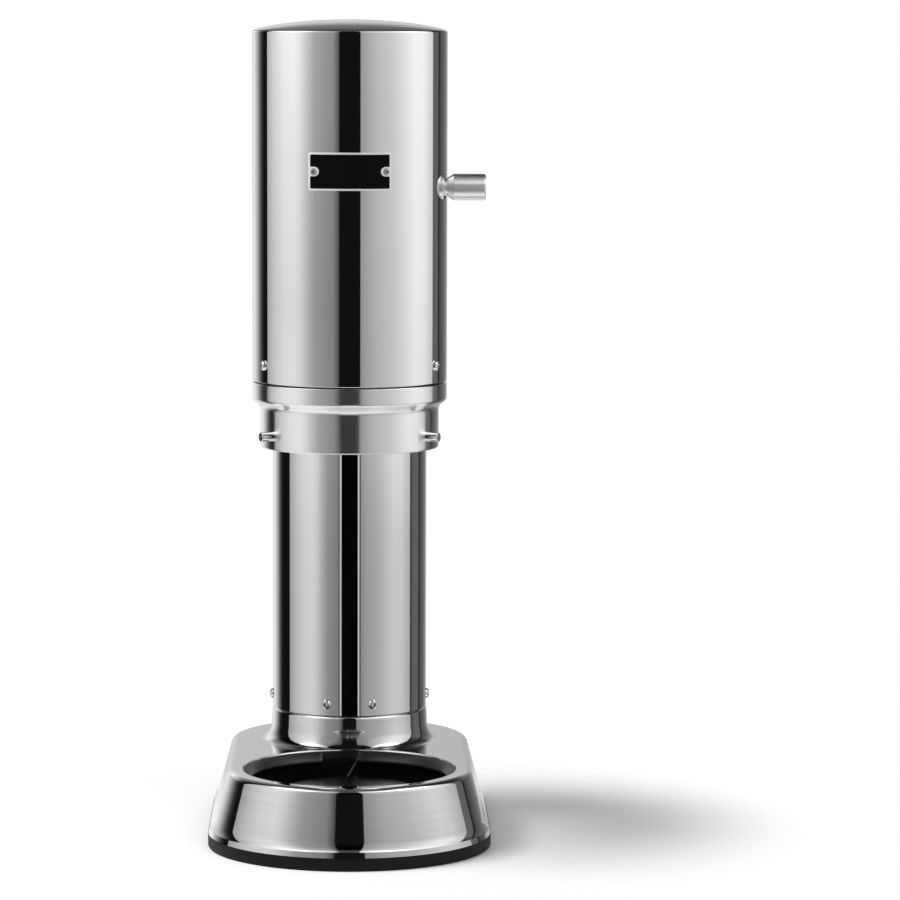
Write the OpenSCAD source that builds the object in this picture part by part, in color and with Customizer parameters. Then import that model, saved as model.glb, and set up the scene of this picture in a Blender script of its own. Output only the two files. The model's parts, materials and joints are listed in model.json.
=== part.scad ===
// Sparkling water maker with a sliding bell, a twist collar and a press lever.
// Sizes are in millimetres. The front faces -Y, up is +Z, and the origin is under the base.

/* [Base] */
// Width of the base across its straight sides
base_width = 153; // [150:0.5:160]
// Distance from the tray axis to the column axis
axis_spacing = 102; // [100:0.5:108]
// Height of the flat top of the base
base_height = 42; // [41:0.5:46]
// Height of the rubber foot
foot_height = 7; // [6:0.5:9]
// Width of the rubber foot's tread
foot_tread = 12; // [10:0.5:14]
// Sheet thickness of the base shell
base_wall = 1.2; // [0.8:0.1:1.6]
// How far the base plate stands in from the foot's edge
plate_inset = 3.5; // [3:0.1:5]
// Chamfer at the foot of the rubber
foot_chamfer = 1; // [0.5:0.1:2]
// How far the top of the skirt stands in from the foot
skirt_inset = 10.8; // [9:0.2:12]
// Lean of the skirt from upright, in degrees
skirt_tilt = 15; // [12:1:17]
// Rounding between the skirt and the flat top
shoulder_radius = 4; // [2:0.5:5]
// Height at which the skirt starts to flare
flare_top = 14.5; // [13:0.5:17]
// Radius of the flare at the foot of the skirt
flare_radius = 12; // [8:0.5:14]
// Angle that the flare turns through
flare_sweep = 25; // [15:1:28]
// Thickness of the plate that closes the base
plate_thickness = 2.6; // [2:0.2:3.4]
// Diameter of the hatch hole for the gas cylinder
hatch_diameter = 66; // [63:0.5:70]
// Diameter of the posts inside the base
post_diameter = 8; // [7:0.5:9]
// How far the two middle posts stand in from the foot's edge
post_inset = 21.5; // [20:0.5:23]
// How far the two rear posts stand in from the foot's edge
rear_post_inset = 19; // [18:0.5:21]
// Turn of the rear posts about the column axis from straight back
rear_post_turn = 35; // [30:1:40]
// Length of the base screws
base_screw_length = 12; // [10:1:14]

/* [Tray] */
// Diameter of the tray opening in the base
tray_opening = 115; // [113:0.5:117]
// Width of the turned-down edge of the opening
rim_wall = 1.2; // [1:0.1:1.6]
// How far the bayonet ring lies under the top of the base
ring_drop = 0.7; // [0.3:0.1:1.2]
// Inner diameter of the bayonet ring's lip
bayonet_opening = 105; // [103:0.5:106]
// Height of the sloping face of the bayonet ring
bayonet_slope = 4.3; // [3.5:0.1:5]
// Thickness of the bayonet lip at its inner edge
bayonet_edge = 1.4; // [1:0.1:2]
// Width of the flat land on top of the bayonet ring
ring_land = 0.5; // [0.3:0.1:0.7]
// Wall left behind a bayonet notch
notch_wall = 0.8; // [0.6:0.1:1]
// Reach of a bayonet notch on its closed side
notch_left = 15; // [12:0.5:17]
// Reach of a bayonet notch on its ramp side
notch_right = 6; // [5:0.5:8]
// How far the ramp leans in over the height of the lip
notch_ramp = 2.7; // [1:0.1:3]
// Wall of the drip tray
tray_wall = 2; // [1.5:0.1:2.2]
// Height of the drip tray's floor
tray_floor = 14; // [12:0.5:16]
// Height of the rest plate's upper face
rest_height = 31; // [29:0.5:33]
// Diameter of the rest plate
rest_diameter = 69; // [60:1:74]
// Thickness of the rest plate
rest_thickness = 2; // [1.5:0.1:3]
// Chamfer on the rest plate's edge
rest_chamfer = 0.5; // [0.2:0.1:0.8]
// Wall of the spigot under the rest plate
spigot_wall = 2; // [1:0.5:3]
// Depth of the spigot under the rest plate
spigot_depth = 4; // [2:0.5:6]
// Outer diameter of the tray's seat ring
seat_diameter = 52; // [48:1:54]
// Wall of the tray's seat ring
seat_wall = 4; // [3:0.5:5]
// How far each ramp runs down the tray's wall below the bayonet ring
ramp_drop = 8.3; // [5:0.1:9]
// How far each ramp leans over on its way down
ramp_lean = 5; // [3:0.1:6]
// Width of each ramp's edge
ramp_width = 1.2; // [0.8:0.1:2]

/* [Column] */
// Outer diameter of the column
column_diameter = 86; // [85:0.5:88]
// Sheet thickness of the column
column_wall = 1; // [0.8:0.1:1.2]
// Width of the slot down the front of the column
slot_width = 8.5; // [8:0.5:10]
// Height of the neck above the flat top of the base
neck_height = 18; // [16:0.5:20]
// How far the neck stands out from the column
neck_step = 0.7; // [0.4:0.1:1]
// Fillet at the foot of the neck
neck_fillet = 8; // [4:0.5:8]
// Open seam between the neck and the column
column_seam = 0.4; // [0.2:0.1:0.6]
// Wall of the sleeve that joins the neck and the column
sleeve_wall = 2.5; // [2:0.1:3]
// Height of the sleeve's foot above the flat top of the base
sleeve_rise = 2; // [1:0.5:3]
// Height of the sleeve above the column screws' heads
sleeve_margin = 0.75; // [0.5:0.05:1]
// Height of the column screws above the neck
column_screw_rise = 6.7; // [6:0.1:8]
// Turn of the two front column screws from straight ahead
column_screw_turn = 17.4; // [15:0.2:20]
// Diameter of a guide rod
rod_diameter = 6; // [5:0.5:6.5]
// Sideways place of the guide rods
rod_side = 16; // [15:0.5:18]
// How far the guide rods stand behind the column's front
rod_depth = 12; // [11.5:0.5:13]
// Thickness of the lower rod bracket
bracket_thickness = 4; // [3:0.5:5]
// Height of the lower rod bracket above the sleeve's foot
bracket_rise = 4; // [2:0.5:6]
// Distance from the top of the slot to the frame plate
slot_margin = 8; // [6:0.5:10]

/* [Head] */
// Width of the head
head_width = 104; // [103:0.5:107]
// Sheet thickness of the head
head_wall = 1; // [0.8:0.1:1.2]
// Height of the head's lower edge
head_bottom = 252.3; // [250:0.1:256]
// Height of the head's upper edge
head_top = 438.5; // [437:0.5:444]
// Height of the lid's crown
crown_height = 6; // [4:0.5:8]
// How far the lid stands in from the head's edge
lid_inset = 0.2; // [0.1:0.1:0.5]
// Thickness of the lid
lid_wall = 1.4; // [1:0.1:2]
// Depth of the lid's rim inside the head
rim_depth = 5; // [3:0.5:6]
// Thickness of the head's floor
floor_thickness = 2; // [1.5:0.1:2.5]
// Height of the guide ring on the floor
guide_height = 14; // [12:0.5:16]
// Turn of the head screws from straight ahead
head_screw_turn = 61; // [55:1:65]
// Height of the head screws above the head's lower edge
head_screw_rise = 9.7; // [8:0.1:11]
// Height of the frame plate above the head's lower edge
frame_rise = 47.7; // [46:0.1:50]
// Thickness of the frame plate
frame_thickness = 3; // [2:0.5:4]
// Room round the bell in the frame plate
bell_room = 1.5; // [1:0.1:2]
// Room round the gas cylinder in the frame plate
cylinder_room = 1; // [0.5:0.1:1.5]
// Width of the riser's slot in the frame plate
riser_slot = 10; // [8:0.5:12]
// Width of the arm's slot in the head's floor
floor_slot = 15; // [12:0.5:18]
// Width of the gap at the rear of the guide ring
guide_gap = 30; // [24:1:36]

/* [Nameplate] */
// Width of the bare nameplate
nameplate_width = 43.4; // [40:0.2:48]
// Height of the bare nameplate
nameplate_height = 19.8; // [16:0.2:24]
// Thickness of the nameplate
nameplate_thickness = 1; // [0.6:0.1:1.4]
// Depth of the nameplate's sunk field
nameplate_sink = 0.3; // [0.1:0.1:0.5]
// Width of the nameplate's border
nameplate_border = 1; // [0.6:0.1:1.6]
// Corner radius of the nameplate
nameplate_corner = 1.2; // [0.8:0.1:2]
// Distance from the head's upper edge to the nameplate's middle
nameplate_drop = 73.2; // [65:0.2:80]
// Sideways place of the nameplate screws
nameplate_screw_side = 18.6; // [16:0.1:19]
// Width of the raised tab round a nameplate screw
nameplate_boss = 0.8; // [0.4:0.1:1]

/* [Bell and collar] */
// Outer diameter of the bell
bell_diameter = 89; // [88:0.2:89.6]
// Wall of the bell
bell_wall = 1.5; // [1:0.1:2]
// Distance from the head's upper edge down to the top of the bell tube
bell_drop = 9.5; // [9:0.5:12]
// Thickness of the bell's cap
cap_thickness = 5; // [4:0.5:6]
// Diameter of the nozzle
nozzle_diameter = 7; // [6:0.5:8]
// Bore of the nozzle
nozzle_bore = 3; // [2:0.5:4]
// Length of the nozzle below the cap
nozzle_length = 80; // [60:1:100]
// Diameter of the mouth seal
mouth_seal_diameter = 36; // [32:1:40]
// Thickness of the mouth seal
mouth_seal_thickness = 4; // [3:0.5:5]
// Wall of the carriage ring
carriage_wall = 3; // [2:0.1:3.1]
// Height of the carriage's top above the head's lower edge
carriage_rise = 37.7; // [36:0.1:40]
// Width of the carriage arm in the slot
arm_width = 7.5; // [6:0.1:7.6]
// Height of the carriage arm
arm_height = 22; // [18:0.5:24]
// Depth of the carriage's slide block, front to back
slide_depth = 15; // [14.5:0.1:15.5]
// How far the slide block lies behind the column's front
slide_set = 4; // [3.5:0.1:4.5]
// Room between the slide block and the column's bore
slide_gap = 1; // [0.5:0.1:1.5]
// Room between the slide block and the sleeve at the lowest place
slide_stop = 0.6; // [0.4:0.1:1]
// Wall of a slide bush
bush_wall = 2; // [1.5:0.1:2.5]
// Diameter of the riser pipe
riser_diameter = 5; // [4.6:0.2:5.4]
// Bore of the riser pipe
riser_bore = 3; // [2:0.2:3.2]
// How far the riser's branch stands in from its outside
riser_step = 0.5; // [0.3:0.1:0.7]
// Depth of the riser's branch in the bell's cap
riser_entry = 10; // [8:0.5:12]
// Open seam between the collar and the head
collar_seam = 0.8; // [0.6:0.1:1.2]
// Height of the collar
collar_height = 35; // [33:0.5:37]
// Height of the collar's grip lip
grip_height = 7.9; // [7:0.1:9]
// Outer diameter of the collar below its lip
collar_diameter = 95.4; // [94.6:0.2:97]
// Rounding under the grip lip
grip_round = 2.6; // [2:0.1:3]
// Hollow between the lip and the collar's wall
grip_hollow = 4; // [3:0.1:4.4]
// Turn of the slope between the rounding and the hollow
grip_turn = 50; // [40:1:60]
// Chamfer at the foot of the collar
collar_chamfer = 1; // [0.5:0.1:1.2]
// Chamfer on the collar's upper edge
collar_edge = 0.4; // [0.2:0.1:0.6]
// Thickness of the ring that holds the collar on the bell
retainer_thickness = 2; // [1.5:0.1:2.5]
// How far the retainer ring lies inside the foot of the collar
retainer_recess = 0.5; // [0.3:0.1:1]
// How far the retainer ring stands in from the collar's side
retainer_inset = 1.4; // [1.2:0.1:1.8]
// Diameter of a bayonet pin
pin_diameter = 5; // [4:0.2:5]
// Distance across the tips of the bayonet pins
pin_reach = 109; // [107:0.5:110]
// Height of the bayonet pins above the foot of the collar
pin_rise = 7.5; // [7:0.1:9]
// Depth of the hollow in a pin's tip
pin_socket = 1.5; // [1:0.1:2]
// Size of that hollow as a part of the pin
pin_hollow = 0.5; // [0.4:0.05:0.6]
// Chamfer on a pin's tip
pin_chamfer = 0.5; // [0.3:0.1:0.8]
// Wall left between a pin's root and the bell
pin_wall = 0.6; // [0.4:0.1:1]
// Room between a bayonet pin and the lip above it
pin_room = 0.6; // [0.4:0.1:1]

/* [Lever] */
// Distance from the head's upper edge to the lever
lever_drop = 82.3; // [78:0.2:86]
// How far the lever stands in front of the head's axis
lever_forward = 15; // [14:0.5:16]
// Diameter of the lever's boss
boss_diameter = 13.5; // [13.3:0.1:14.5]
// How far the boss reaches out from the head's axis
boss_reach = 50.7; // [50.6:0.1:52]
// Bore of the boss
boss_bore = 11.8; // [11.7:0.1:12]
// How far the boss reaches inside the pivot
boss_depth = 3; // [2.6:0.1:3]
// Distance of the lever's pivot from the head's axis
pivot_side = 47.5; // [47.3:0.1:47.8]
// Diameter of the lever's pivot pin
pivot_diameter = 2; // [1.6:0.1:2.2]
// How far the pivot pin stands in from the boss's side
pivot_inset = 0.4; // [0.2:0.1:0.6]
// Diameter of the lever's neck
lever_neck = 9.4; // [8.6:0.1:9.4]
// How far the lever's hub stands in from its neck
hub_inset = 0.7; // [0.5:0.1:1]
// Length of the lever's neck outside the boss
lever_neck_length = 1.5; // [1.4:0.1:2.5]
// Length of the cone behind the knob
lever_cone = 3.6; // [3:0.1:5]
// Diameter of the knob
knob_diameter = 14; // [13:0.1:15]
// Length of the knob
knob_length = 16.2; // [14:0.2:20]
// Chamfer on the knob's end
knob_chamfer = 1; // [0.5:0.1:1.5]
// Reach of the lever's finger inside the pivot
finger_reach = 2.6; // [2.4:0.1:2.7]
// Radius of the finger's tip
finger_radius = 2.1; // [1.9:0.1:2.2]
// Width of the finger
finger_width = 3.2; // [2.6:0.1:3.4]
// Thickness of the rocker
rocker_thickness = 3; // [2.5:0.1:3.2]
// Height of the rocker's front bar
rocker_bar = 10; // [8:0.5:12]
// Height of the rocker's front bar above its pad
bar_rise = 4.3; // [4.2:0.1:5]
// Room between the bell and the rocker
rocker_gap = 1.7; // [1.5:0.1:1.8]
// Room between the bell and the rocker's pad
pad_gap = 1; // [0.7:0.1:1.2]
// Width of the rocker's pad
pad_width = 2.7; // [2:0.1:3]
// Height of the rocker's rear arm
rocker_arm = 8; // [6:0.5:10]
// How far behind the head's axis the rocker turns
rocker_back = 39; // [37:0.5:41]
// Diameter of the rocker's shaft
rocker_shaft_diameter = 5; // [4:0.5:6]
// Wall of the rocker's hub
rocker_hub_wall = 2.5; // [2:0.1:3]
// How far the shaft stands out of the rocker
shaft_end = 0.8; // [0.4:0.1:1]
// Width of the rocker's bracket
bracket_width = 11; // [9:0.5:12]
// Reach of the rocker's cross arm in front of the push pin
cross_front = 5; // [4:0.5:6]
// Reach of the rocker's cross arm behind the push pin
cross_back = 3; // [2:0.5:4]

/* [Gas] */
// Diameter of the gas cylinder
cylinder_diameter = 60; // [59:0.5:61]
// Distance from the head's upper edge to the top of the cylinder's valve
valve_drop = 61.5; // [58:0.5:64]
// Height of the cylinder's foot above the table
cylinder_foot = 12; // [10:0.5:14]
// How far the cylinder stands behind the column's axis
cylinder_back = 8; // [7.5:0.1:9]
// Wall of the gas cylinder
cylinder_wall = 3; // [2:0.1:4]
// Height of the hollow under the cylinder
dish_height = 4; // [2:0.5:6]
// Radius of the hollow under the cylinder
dish_radius = 18; // [14:1:22]
// Width of the cylinder's rounded heel
heel_width = 4; // [2:0.5:6]
// Height of the cylinder's rounded heel
heel_height = 5; // [3:0.5:7]
// Height of the cylinder's inner floor above its foot
inner_floor = 9; // [8:0.5:12]
// Length of the cylinder's shoulder
shoulder_length = 17; // [14:0.5:20]
// How far the shoulder's knee stands in from the cylinder's side
knee_inset = 6; // [4:0.5:8]
// Height of the shoulder's knee as a part of the shoulder
knee_part = 0.45; // [0.4:0.01:0.5]
// Height of the neck's foot as a part of the shoulder
neck_part = 0.8; // [0.75:0.01:0.9]
// Height of the inner knee as a part of the shoulder
inner_knee_part = 0.3; // [0.2:0.01:0.35]
// Height of the neck's inner edge as a part of the shoulder
inner_neck_part = 0.5; // [0.45:0.01:0.55]
// Diameter of the cylinder's neck
cylinder_neck = 26; // [24:0.5:28]
// Diameter of the valve thread
valve_thread = 20.5; // [20:0.1:21]
// Length of the valve thread above the cylinder's neck
valve_length = 30; // [28:0.5:32]
// Height of the valve's hexagon
valve_hex = 5; // [4:0.5:6]
// How far the valve's stem stands in from its thread
stem_inset = 2; // [1.5:0.1:3]
// Length of the valve's stem in the cylinder's neck
stem_length = 8; // [5:0.5:10]
// Depth of the well in the valve's top
well_depth = 4; // [3.5:0.1:6]
// Width of the valve block
block_width = 36; // [34:0.5:40]
// Height of the valve block
block_height = 32; // [30:0.5:34]
// Thickness of the seal on the cylinder's valve
seal_thickness = 1; // [0.6:0.1:1.5]
// Room between the push pin and the seal
seal_gap = 1; // [0.6:0.1:1.5]
// Thickness of the bridge that holds the valve block
bridge_thickness = 4; // [3:0.5:5]
// Height of the bridge above the valve's hexagon
bridge_rise = 1; // [0.5:0.1:2]
// Room between the cylinder and the bridge's legs
bridge_room = 2.5; // [2:0.1:3]
// Depth of the bridge, front to back
bridge_depth = 16; // [14:0.5:18]
// Diameter of the valve's push pin
push_pin = 4; // [3:0.1:5]
// Diameter of the push pin's head
push_head = 10; // [9:0.5:11]
// Height of the push pin's head
push_head_height = 3; // [2:0.5:4]
// How far the push pin reaches into the valve
push_entry = 2; // [1:0.1:2.2]
// Room for the spring under the push pin's head
spring_height = 6; // [5:0.5:7]
// Wire of the return spring
spring_wire = 0.8; // [0.6:0.1:1]
// Turns of the return spring
spring_turns = 4; // [3:1:4]
// Distance from the push pin to the middle of the spring's wire
spring_gap = 1.4; // [1.2:0.1:1.6]
// Room over the spring at rest
spring_slack = 0.1; // [0.05:0.05:0.2]
// Diameter of the relief valve
relief_diameter = 12; // [10:0.5:14]
// Length of the relief valve outside the block
relief_length = 16; // [12:0.5:20]
// Length of the relief valve's nut as a part of its length
relief_nut = 0.6; // [0.5:0.05:0.7]
// How far the relief valve's cap stands in from its nut
relief_step = 1.5; // [1:0.1:2]
// How far the relief valve's stem stands in from its nut
relief_inset = 2; // [1.5:0.1:2.5]
// Length of the relief valve's stem in the block
relief_entry = 7; // [5:0.5:7.5]
// Diameter of the gas hose
hose_diameter = 5; // [4:0.2:5]
// Sideways place of the hose's fixed leg
hose_side = 35; // [34.5:0.1:35.5]
// How far the hose's fixed leg stands in front of the column's axis
hose_front = 5; // [4:0.5:6]
// Depth of the hose's loop under the carriage
hose_loop = 87; // [60:1:100]
// Height of the hose's port above the foot of the valve block
port_rise = 17; // [15:0.5:19]
// Radius of the hose's upper bend
hose_bend = 9; // [8:0.5:10]
// Sideways place of the hose's moving leg
hose_moving_side = 27; // [26:0.5:28]
// How far the hose's moving leg stands behind the guide rods
hose_moving_back = 4; // [3:0.5:4]

/* [Screws] */
// Diameter of the frame screws' threads
screw_thread = 3; // [2.5:0.1:3.2]
// Diameter of the frame screws' heads
screw_head = 5.5; // [5:0.1:6]
// Height of the frame screws' heads
screw_head_height = 1.65; // [1.2:0.05:2]
// Diameter of the nameplate screws' threads
small_thread = 1.6; // [1.2:0.1:2]
// Diameter of the nameplate screws' heads
small_head = 3.4; // [3:0.1:4]
// Height of the nameplate screws' heads
small_head_height = 1; // [0.8:0.1:1.2]
// Radius of a head's flat as a part of the head's diameter
head_flat = 0.33; // [0.28:0.01:0.38]
// Radius of a screw's socket as a part of the head's diameter
socket_part = 0.22; // [0.18:0.01:0.25]
// Height of the socket's floor as a part of the head's height
socket_floor = 0.4; // [0.3:0.05:0.6]

/* [Fits] */
// Room between a shaft and the bore that turns on it
running_clear = 0.06; // [0.03:0.01:0.09]
// Room between pieces that move past each other
moving_clear = 0.4; // [0.3:0.05:0.5]
// Room between pieces that press on each other when the lever moves
touch_clear = 0.3; // [0.2:0.05:0.4]
// Room under the rest plate, which lifts off its seat
rest_clear = 0.05; // [0.02:0.01:0.1]

/* [Hidden] */
$fn = 72;
// Overlap that lets a cut pass clean through a face, or a bar run into its wall
cut = 1;
// Steps in a drawn arc
arc_steps = 6;
// Steps in the lid's crown
crown_steps = 14;
// Steps in a bend of the gas hose
hose_steps = 10;
// Steps in a turn of the return spring
spring_steps = 16;
// Sides of the spring's wire
spring_sides = 8;
// Sides of the gas hose
hose_sides = 10;
// Sides of a hexagon
hexagon = 6;
// Power of the crown's curve
crown_power = 0.75;
// Number of bayonet pins round the collar
pin_count = 3;
// Half turn that the rocker's front bar reaches past the head's axis
bar_turn = 21;
// Part of that turn over the lever's finger
pad_turn = 5;

tray_y = -axis_spacing / 2;
column_y = axis_spacing / 2;
cylinder_y = column_y + cylinder_back;

// Base sizes that follow from those above
foot_radius = base_width / 2;
plate_bottom = foot_height - plate_thickness;
plate_radius = foot_radius - plate_inset;
skirt_top = foot_radius - skirt_inset;
shoulder_z = base_height - shoulder_radius;
shoulder_x = skirt_at(shoulder_z + shoulder_radius * sin(skirt_tilt)) - shoulder_radius * cos(skirt_tilt);
shoulder_middle = [shoulder_x, shoulder_z];
flare_middle = [skirt_at(flare_top), flare_top] + flare_radius * [cos(skirt_tilt), sin(skirt_tilt)];
flare_start = 180 + skirt_tilt + flare_sweep;
lip_x = (flare_middle + flare_radius * [cos(flare_start), sin(flare_start)])[0];
inner_skirt = base_wall / cos(skirt_tilt);
post_height = base_height - base_wall / 2 - foot_height;
post_side = foot_radius - post_inset;
rear_post_reach = foot_radius - rear_post_inset;
rear_post_side = rear_post_reach * sin(rear_post_turn);
rear_post_y = column_y + rear_post_reach * cos(rear_post_turn);
post_places = [
    [-post_side, 0],
    [post_side, 0],
    [-rear_post_side, rear_post_y],
    [rear_post_side, rear_post_y]
];

// Tray sizes that follow from those above
opening_radius = tray_opening / 2;
ring_top = base_height - ring_drop;
lip_radius = bayonet_opening / 2;
lip_top = ring_top - bayonet_slope;
lip_bottom = lip_top - bayonet_edge;
seat_top = rest_height - rest_thickness;
seat_radius = seat_diameter / 2;

// Column sizes that follow from those above
column_radius = column_diameter / 2;
column_bore = column_radius - column_wall;
neck_top = base_height + neck_height;
neck_radius = column_radius + neck_step;
column_bottom = neck_top + column_seam;
column_screw_z = neck_top + column_screw_rise;
sleeve_bottom = base_height + sleeve_rise;
sleeve_top = column_screw_z + screw_head / 2 + sleeve_margin;
sleeve_bore = column_bore - sleeve_wall;
rod_y = column_y - column_radius + rod_depth;
rod_radius = rod_diameter / 2;
bracket_bottom = sleeve_bottom + bracket_rise;
bracket_back = cylinder_y - cylinder_diameter / 2 - moving_clear;
column_turns = [-90, -column_screw_turn, column_screw_turn, 90];

// Head sizes that follow from those above
head_radius = head_width / 2;
head_bore = head_radius - head_wall;
floor_top = head_bottom + floor_thickness;
frame_bottom = head_bottom + frame_rise;
frame_top = frame_bottom + frame_thickness;
slot_top = frame_bottom - slot_margin;
nameplate_z = head_top - nameplate_drop;
nameplate_face = head_radius + nameplate_thickness;
nameplate_screw_turn = asin(nameplate_screw_side / head_radius);
nameplate_tab = small_head / 2 + nameplate_boss;
head_screw_z = head_bottom + head_screw_rise;

// Bell and collar sizes that follow from those above
bell_radius = bell_diameter / 2;
bell_bore = bell_radius - bell_wall;
bell_top = head_top - bell_drop;
cap_top = bell_top + cap_thickness;
collar_top = head_bottom - collar_seam;
collar_bottom = collar_top - collar_height;
collar_radius = collar_diameter / 2;
collar_bore = bell_radius + running_clear;
retainer_bottom = collar_bottom + retainer_recess;
bell_bottom = retainer_bottom + retainer_thickness;
retainer_radius = collar_radius - retainer_inset;
pin_z = collar_bottom + pin_rise;
pin_radius = pin_diameter / 2;
pin_root = collar_bore + pin_wall;
bell_travel = pin_z + pin_radius + pin_room - lip_bottom;
carriage_radius = bell_radius + carriage_wall;
carriage_bottom = collar_top + moving_clear;
carriage_top = head_bottom + carriage_rise;
slide_bottom = sleeve_top + bell_travel + slide_stop;
arm_bottom = slide_bottom;
arm_top = arm_bottom + arm_height;
slide_front = column_y - column_radius + slide_set;
slide_radius = column_bore - slide_gap;
bush_radius = rod_radius + bush_wall;
riser_y = tray_y + carriage_radius + riser_diameter / 2;
riser_top = bell_top + cap_thickness / 2;
bell_back = tray_y + bell_radius;

// Lever sizes that follow from those above
lever_y = tray_y - lever_forward;
lever_z = head_top - lever_drop;
boss_radius = boss_diameter / 2;
boss_inner = pivot_side - boss_depth;
hub_half = lever_neck / 2 - hub_inset;
neck_end = boss_reach + lever_neck_length;
cone_end = neck_end + lever_cone;
knob_end = cone_end + knob_length;
pad_bottom = lever_z + finger_radius + touch_clear;
bar_bottom = pad_bottom + bar_rise;
bar_top = bar_bottom + rocker_bar;
rocker_inner = bell_radius + rocker_gap;
rocker_outer = rocker_inner + rocker_thickness;
rocker_y = tray_y + rocker_back;
rocker_hub = rocker_shaft_diameter + 2 * rocker_hub_wall;
pad_inner = bell_radius + pad_gap;

// Gas sizes that follow from those above
cylinder_radius = cylinder_diameter / 2;
cylinder_top = head_top - valve_drop;
neck_end_z = cylinder_top - valve_length - valve_hex;
shoulder_start = neck_end_z - shoulder_length;
thread_start = cylinder_top - valve_length;
block_bottom = thread_start + bridge_thickness + bridge_rise;
block_top = block_bottom + block_height;
bridge_half = cylinder_radius + bridge_room + bridge_thickness;
head_underside = block_top + spring_height;
push_top = head_underside + push_head_height;
arm_z = push_top + touch_clear;
rocker_z = arm_z;
spring_radius = push_pin / 2 + spring_gap;
hose_y = column_y - hose_front;
port_z = block_bottom + port_rise;
hose_rise = port_z - hose_bend;
hose_low = slide_bottom - hose_loop;
moving_leg = [-hose_moving_side, rod_y + hose_moving_back];
fixed_leg = [-hose_side, hose_y];
leg_vector = moving_leg - fixed_leg;
loop_radius = norm(leg_vector) / 2;
loop_turn = atan2(leg_vector[1], leg_vector[0]);
bracket_left = rocker_inner - moving_clear - bracket_width;
stem_radius = valve_thread / 2 - stem_inset;

// Radius of the skirt's straight face at height z
function skirt_at(z) = skirt_top + (base_height - z) * tan(skirt_tilt);

// Points of an arc about a middle
function arc(middle, radius, from, to) = [
    for (i = [0 : arc_steps])
        let (a = from + (to - from) * i / arc_steps)
        middle + radius * [cos(a), sin(a)]
];

// Points of the lid's crown from its edge to its middle
function crown(radius, bottom, height) = [
    for (i = [0 : crown_steps])
        let (u = cos(90 * i / crown_steps))
        [radius * u, bottom + height * pow(max(0, 1 - u * u), crown_power)]
];

// Solid with round ends about both axes, from half of its section
module stadium(points) {
    translate([0, tray_y, 0])
        rotate([0, 0, 180])
            rotate_extrude(angle = 180)
                polygon(points);
    translate([0, column_y, 0])
        rotate_extrude(angle = 180)
            polygon(points);
    translate([0, column_y, 0])
        rotate([90, 0, 0])
            linear_extrude(height = axis_spacing) {
                polygon(points);
                mirror([1, 0])
                    polygon(points);
            }
}

// Flat plate with round ends about both axes
module stadium_plate(radius, bottom, top) {
    translate([0, 0, bottom])
        linear_extrude(height = top - bottom)
            stadium_outline(radius);
}

// Outline with round ends about both axes
module stadium_outline(radius) {
    translate([0, tray_y])
        circle(r = radius);
    translate([0, column_y])
        circle(r = radius);
    translate([-radius, tray_y])
        square([2 * radius, axis_spacing]);
}

// Turned ring between two radii
module ring(outer, inner, bottom, top) {
    translate([0, 0, bottom])
        difference() {
            cylinder(r = outer, h = top - bottom);
            translate([0, 0, -cut])
                cylinder(r = inner, h = top - bottom + 2 * cut);
        }
}

// Cylinder along X between two places
module bar_x(radius, from, to) {
    translate([from, 0, 0])
        rotate([0, 90, 0])
            cylinder(r = radius, h = to - from);
}

// Cylinder along Y between two places
module bar_y(radius, from, to) {
    translate([0, to, 0])
        rotate([90, 0, 0])
            cylinder(r = radius, h = to - from);
}

// Button-head screw along +X, with its head outside the given radius
module button_screw(at, thread, head, height, length) {
    difference() {
        union() {
            bar_x(thread / 2, at - length, at);
            translate([at, 0, 0])
                rotate([0, 90, 0])
                    cylinder(r1 = head / 2, r2 = head * head_flat, h = height);
        }
        translate([at + height * socket_floor, 0, 0])
            rotate([0, 90, 0])
                cylinder(r = head * socket_part, h = height, $fn = hexagon);
    }
}

module base_shell() {
    outer = concat(
        [[0, foot_height], [lip_x, foot_height]],
        arc(flare_middle, flare_radius, flare_start, 180 + skirt_tilt),
        arc(shoulder_middle, shoulder_radius, skirt_tilt, 90),
        [[0, base_height]]
    );
    inner = concat(
        [[0, foot_height - cut], [skirt_at(foot_height - cut) - inner_skirt, foot_height - cut]],
        arc(shoulder_middle, shoulder_radius - base_wall, skirt_tilt, 90),
        [[0, base_height - base_wall]]
    );
    neck = concat(
        [[column_bore, base_height - base_wall], [neck_radius + neck_fillet, base_height - base_wall]],
        arc([neck_radius + neck_fillet, base_height + neck_fillet], neck_fillet, 270, 180),
        [[neck_radius, neck_top], [column_bore, neck_top]]
    );
    color("silver")
    difference() {
        union() {
            difference() {
                stadium(outer);
                stadium(inner);
            }
            translate([0, column_y, 0])
                rotate_extrude()
                    polygon(neck);
            translate([0, tray_y, 0])
                ring(opening_radius + rim_wall, opening_radius, lip_bottom, base_height);
            for (place = post_places)
                translate([place[0], place[1], foot_height])
                    cylinder(r = post_diameter / 2, h = post_height);
        }
        translate([0, tray_y, lip_bottom - cut])
            cylinder(r = opening_radius, h = neck_top - lip_bottom + 2 * cut);
        translate([0, column_y, foot_height])
            cylinder(r = column_bore, h = neck_top - foot_height + cut);
        for (place = post_places)
            translate([place[0], place[1], foot_height - cut])
                cylinder(r = screw_thread / 2, h = base_screw_length + cut);
    }
}

module base_plate() {
    color("gray")
    difference() {
        stadium_plate(plate_radius, plate_bottom, foot_height);
        translate([0, cylinder_y, plate_bottom - cut])
            cylinder(r = hatch_diameter / 2, h = plate_thickness + 2 * cut);
        for (place = post_places)
            translate([place[0], place[1], plate_bottom - cut])
                cylinder(r = screw_thread / 2, h = plate_thickness + 2 * cut);
    }
}

module base_screws() {
    color("dimgray")
    for (place = post_places)
        translate([place[0], place[1], plate_bottom])
            rotate([0, 90, 0])
                button_screw(0, screw_thread, screw_head, screw_head_height, base_screw_length);
}

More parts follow.
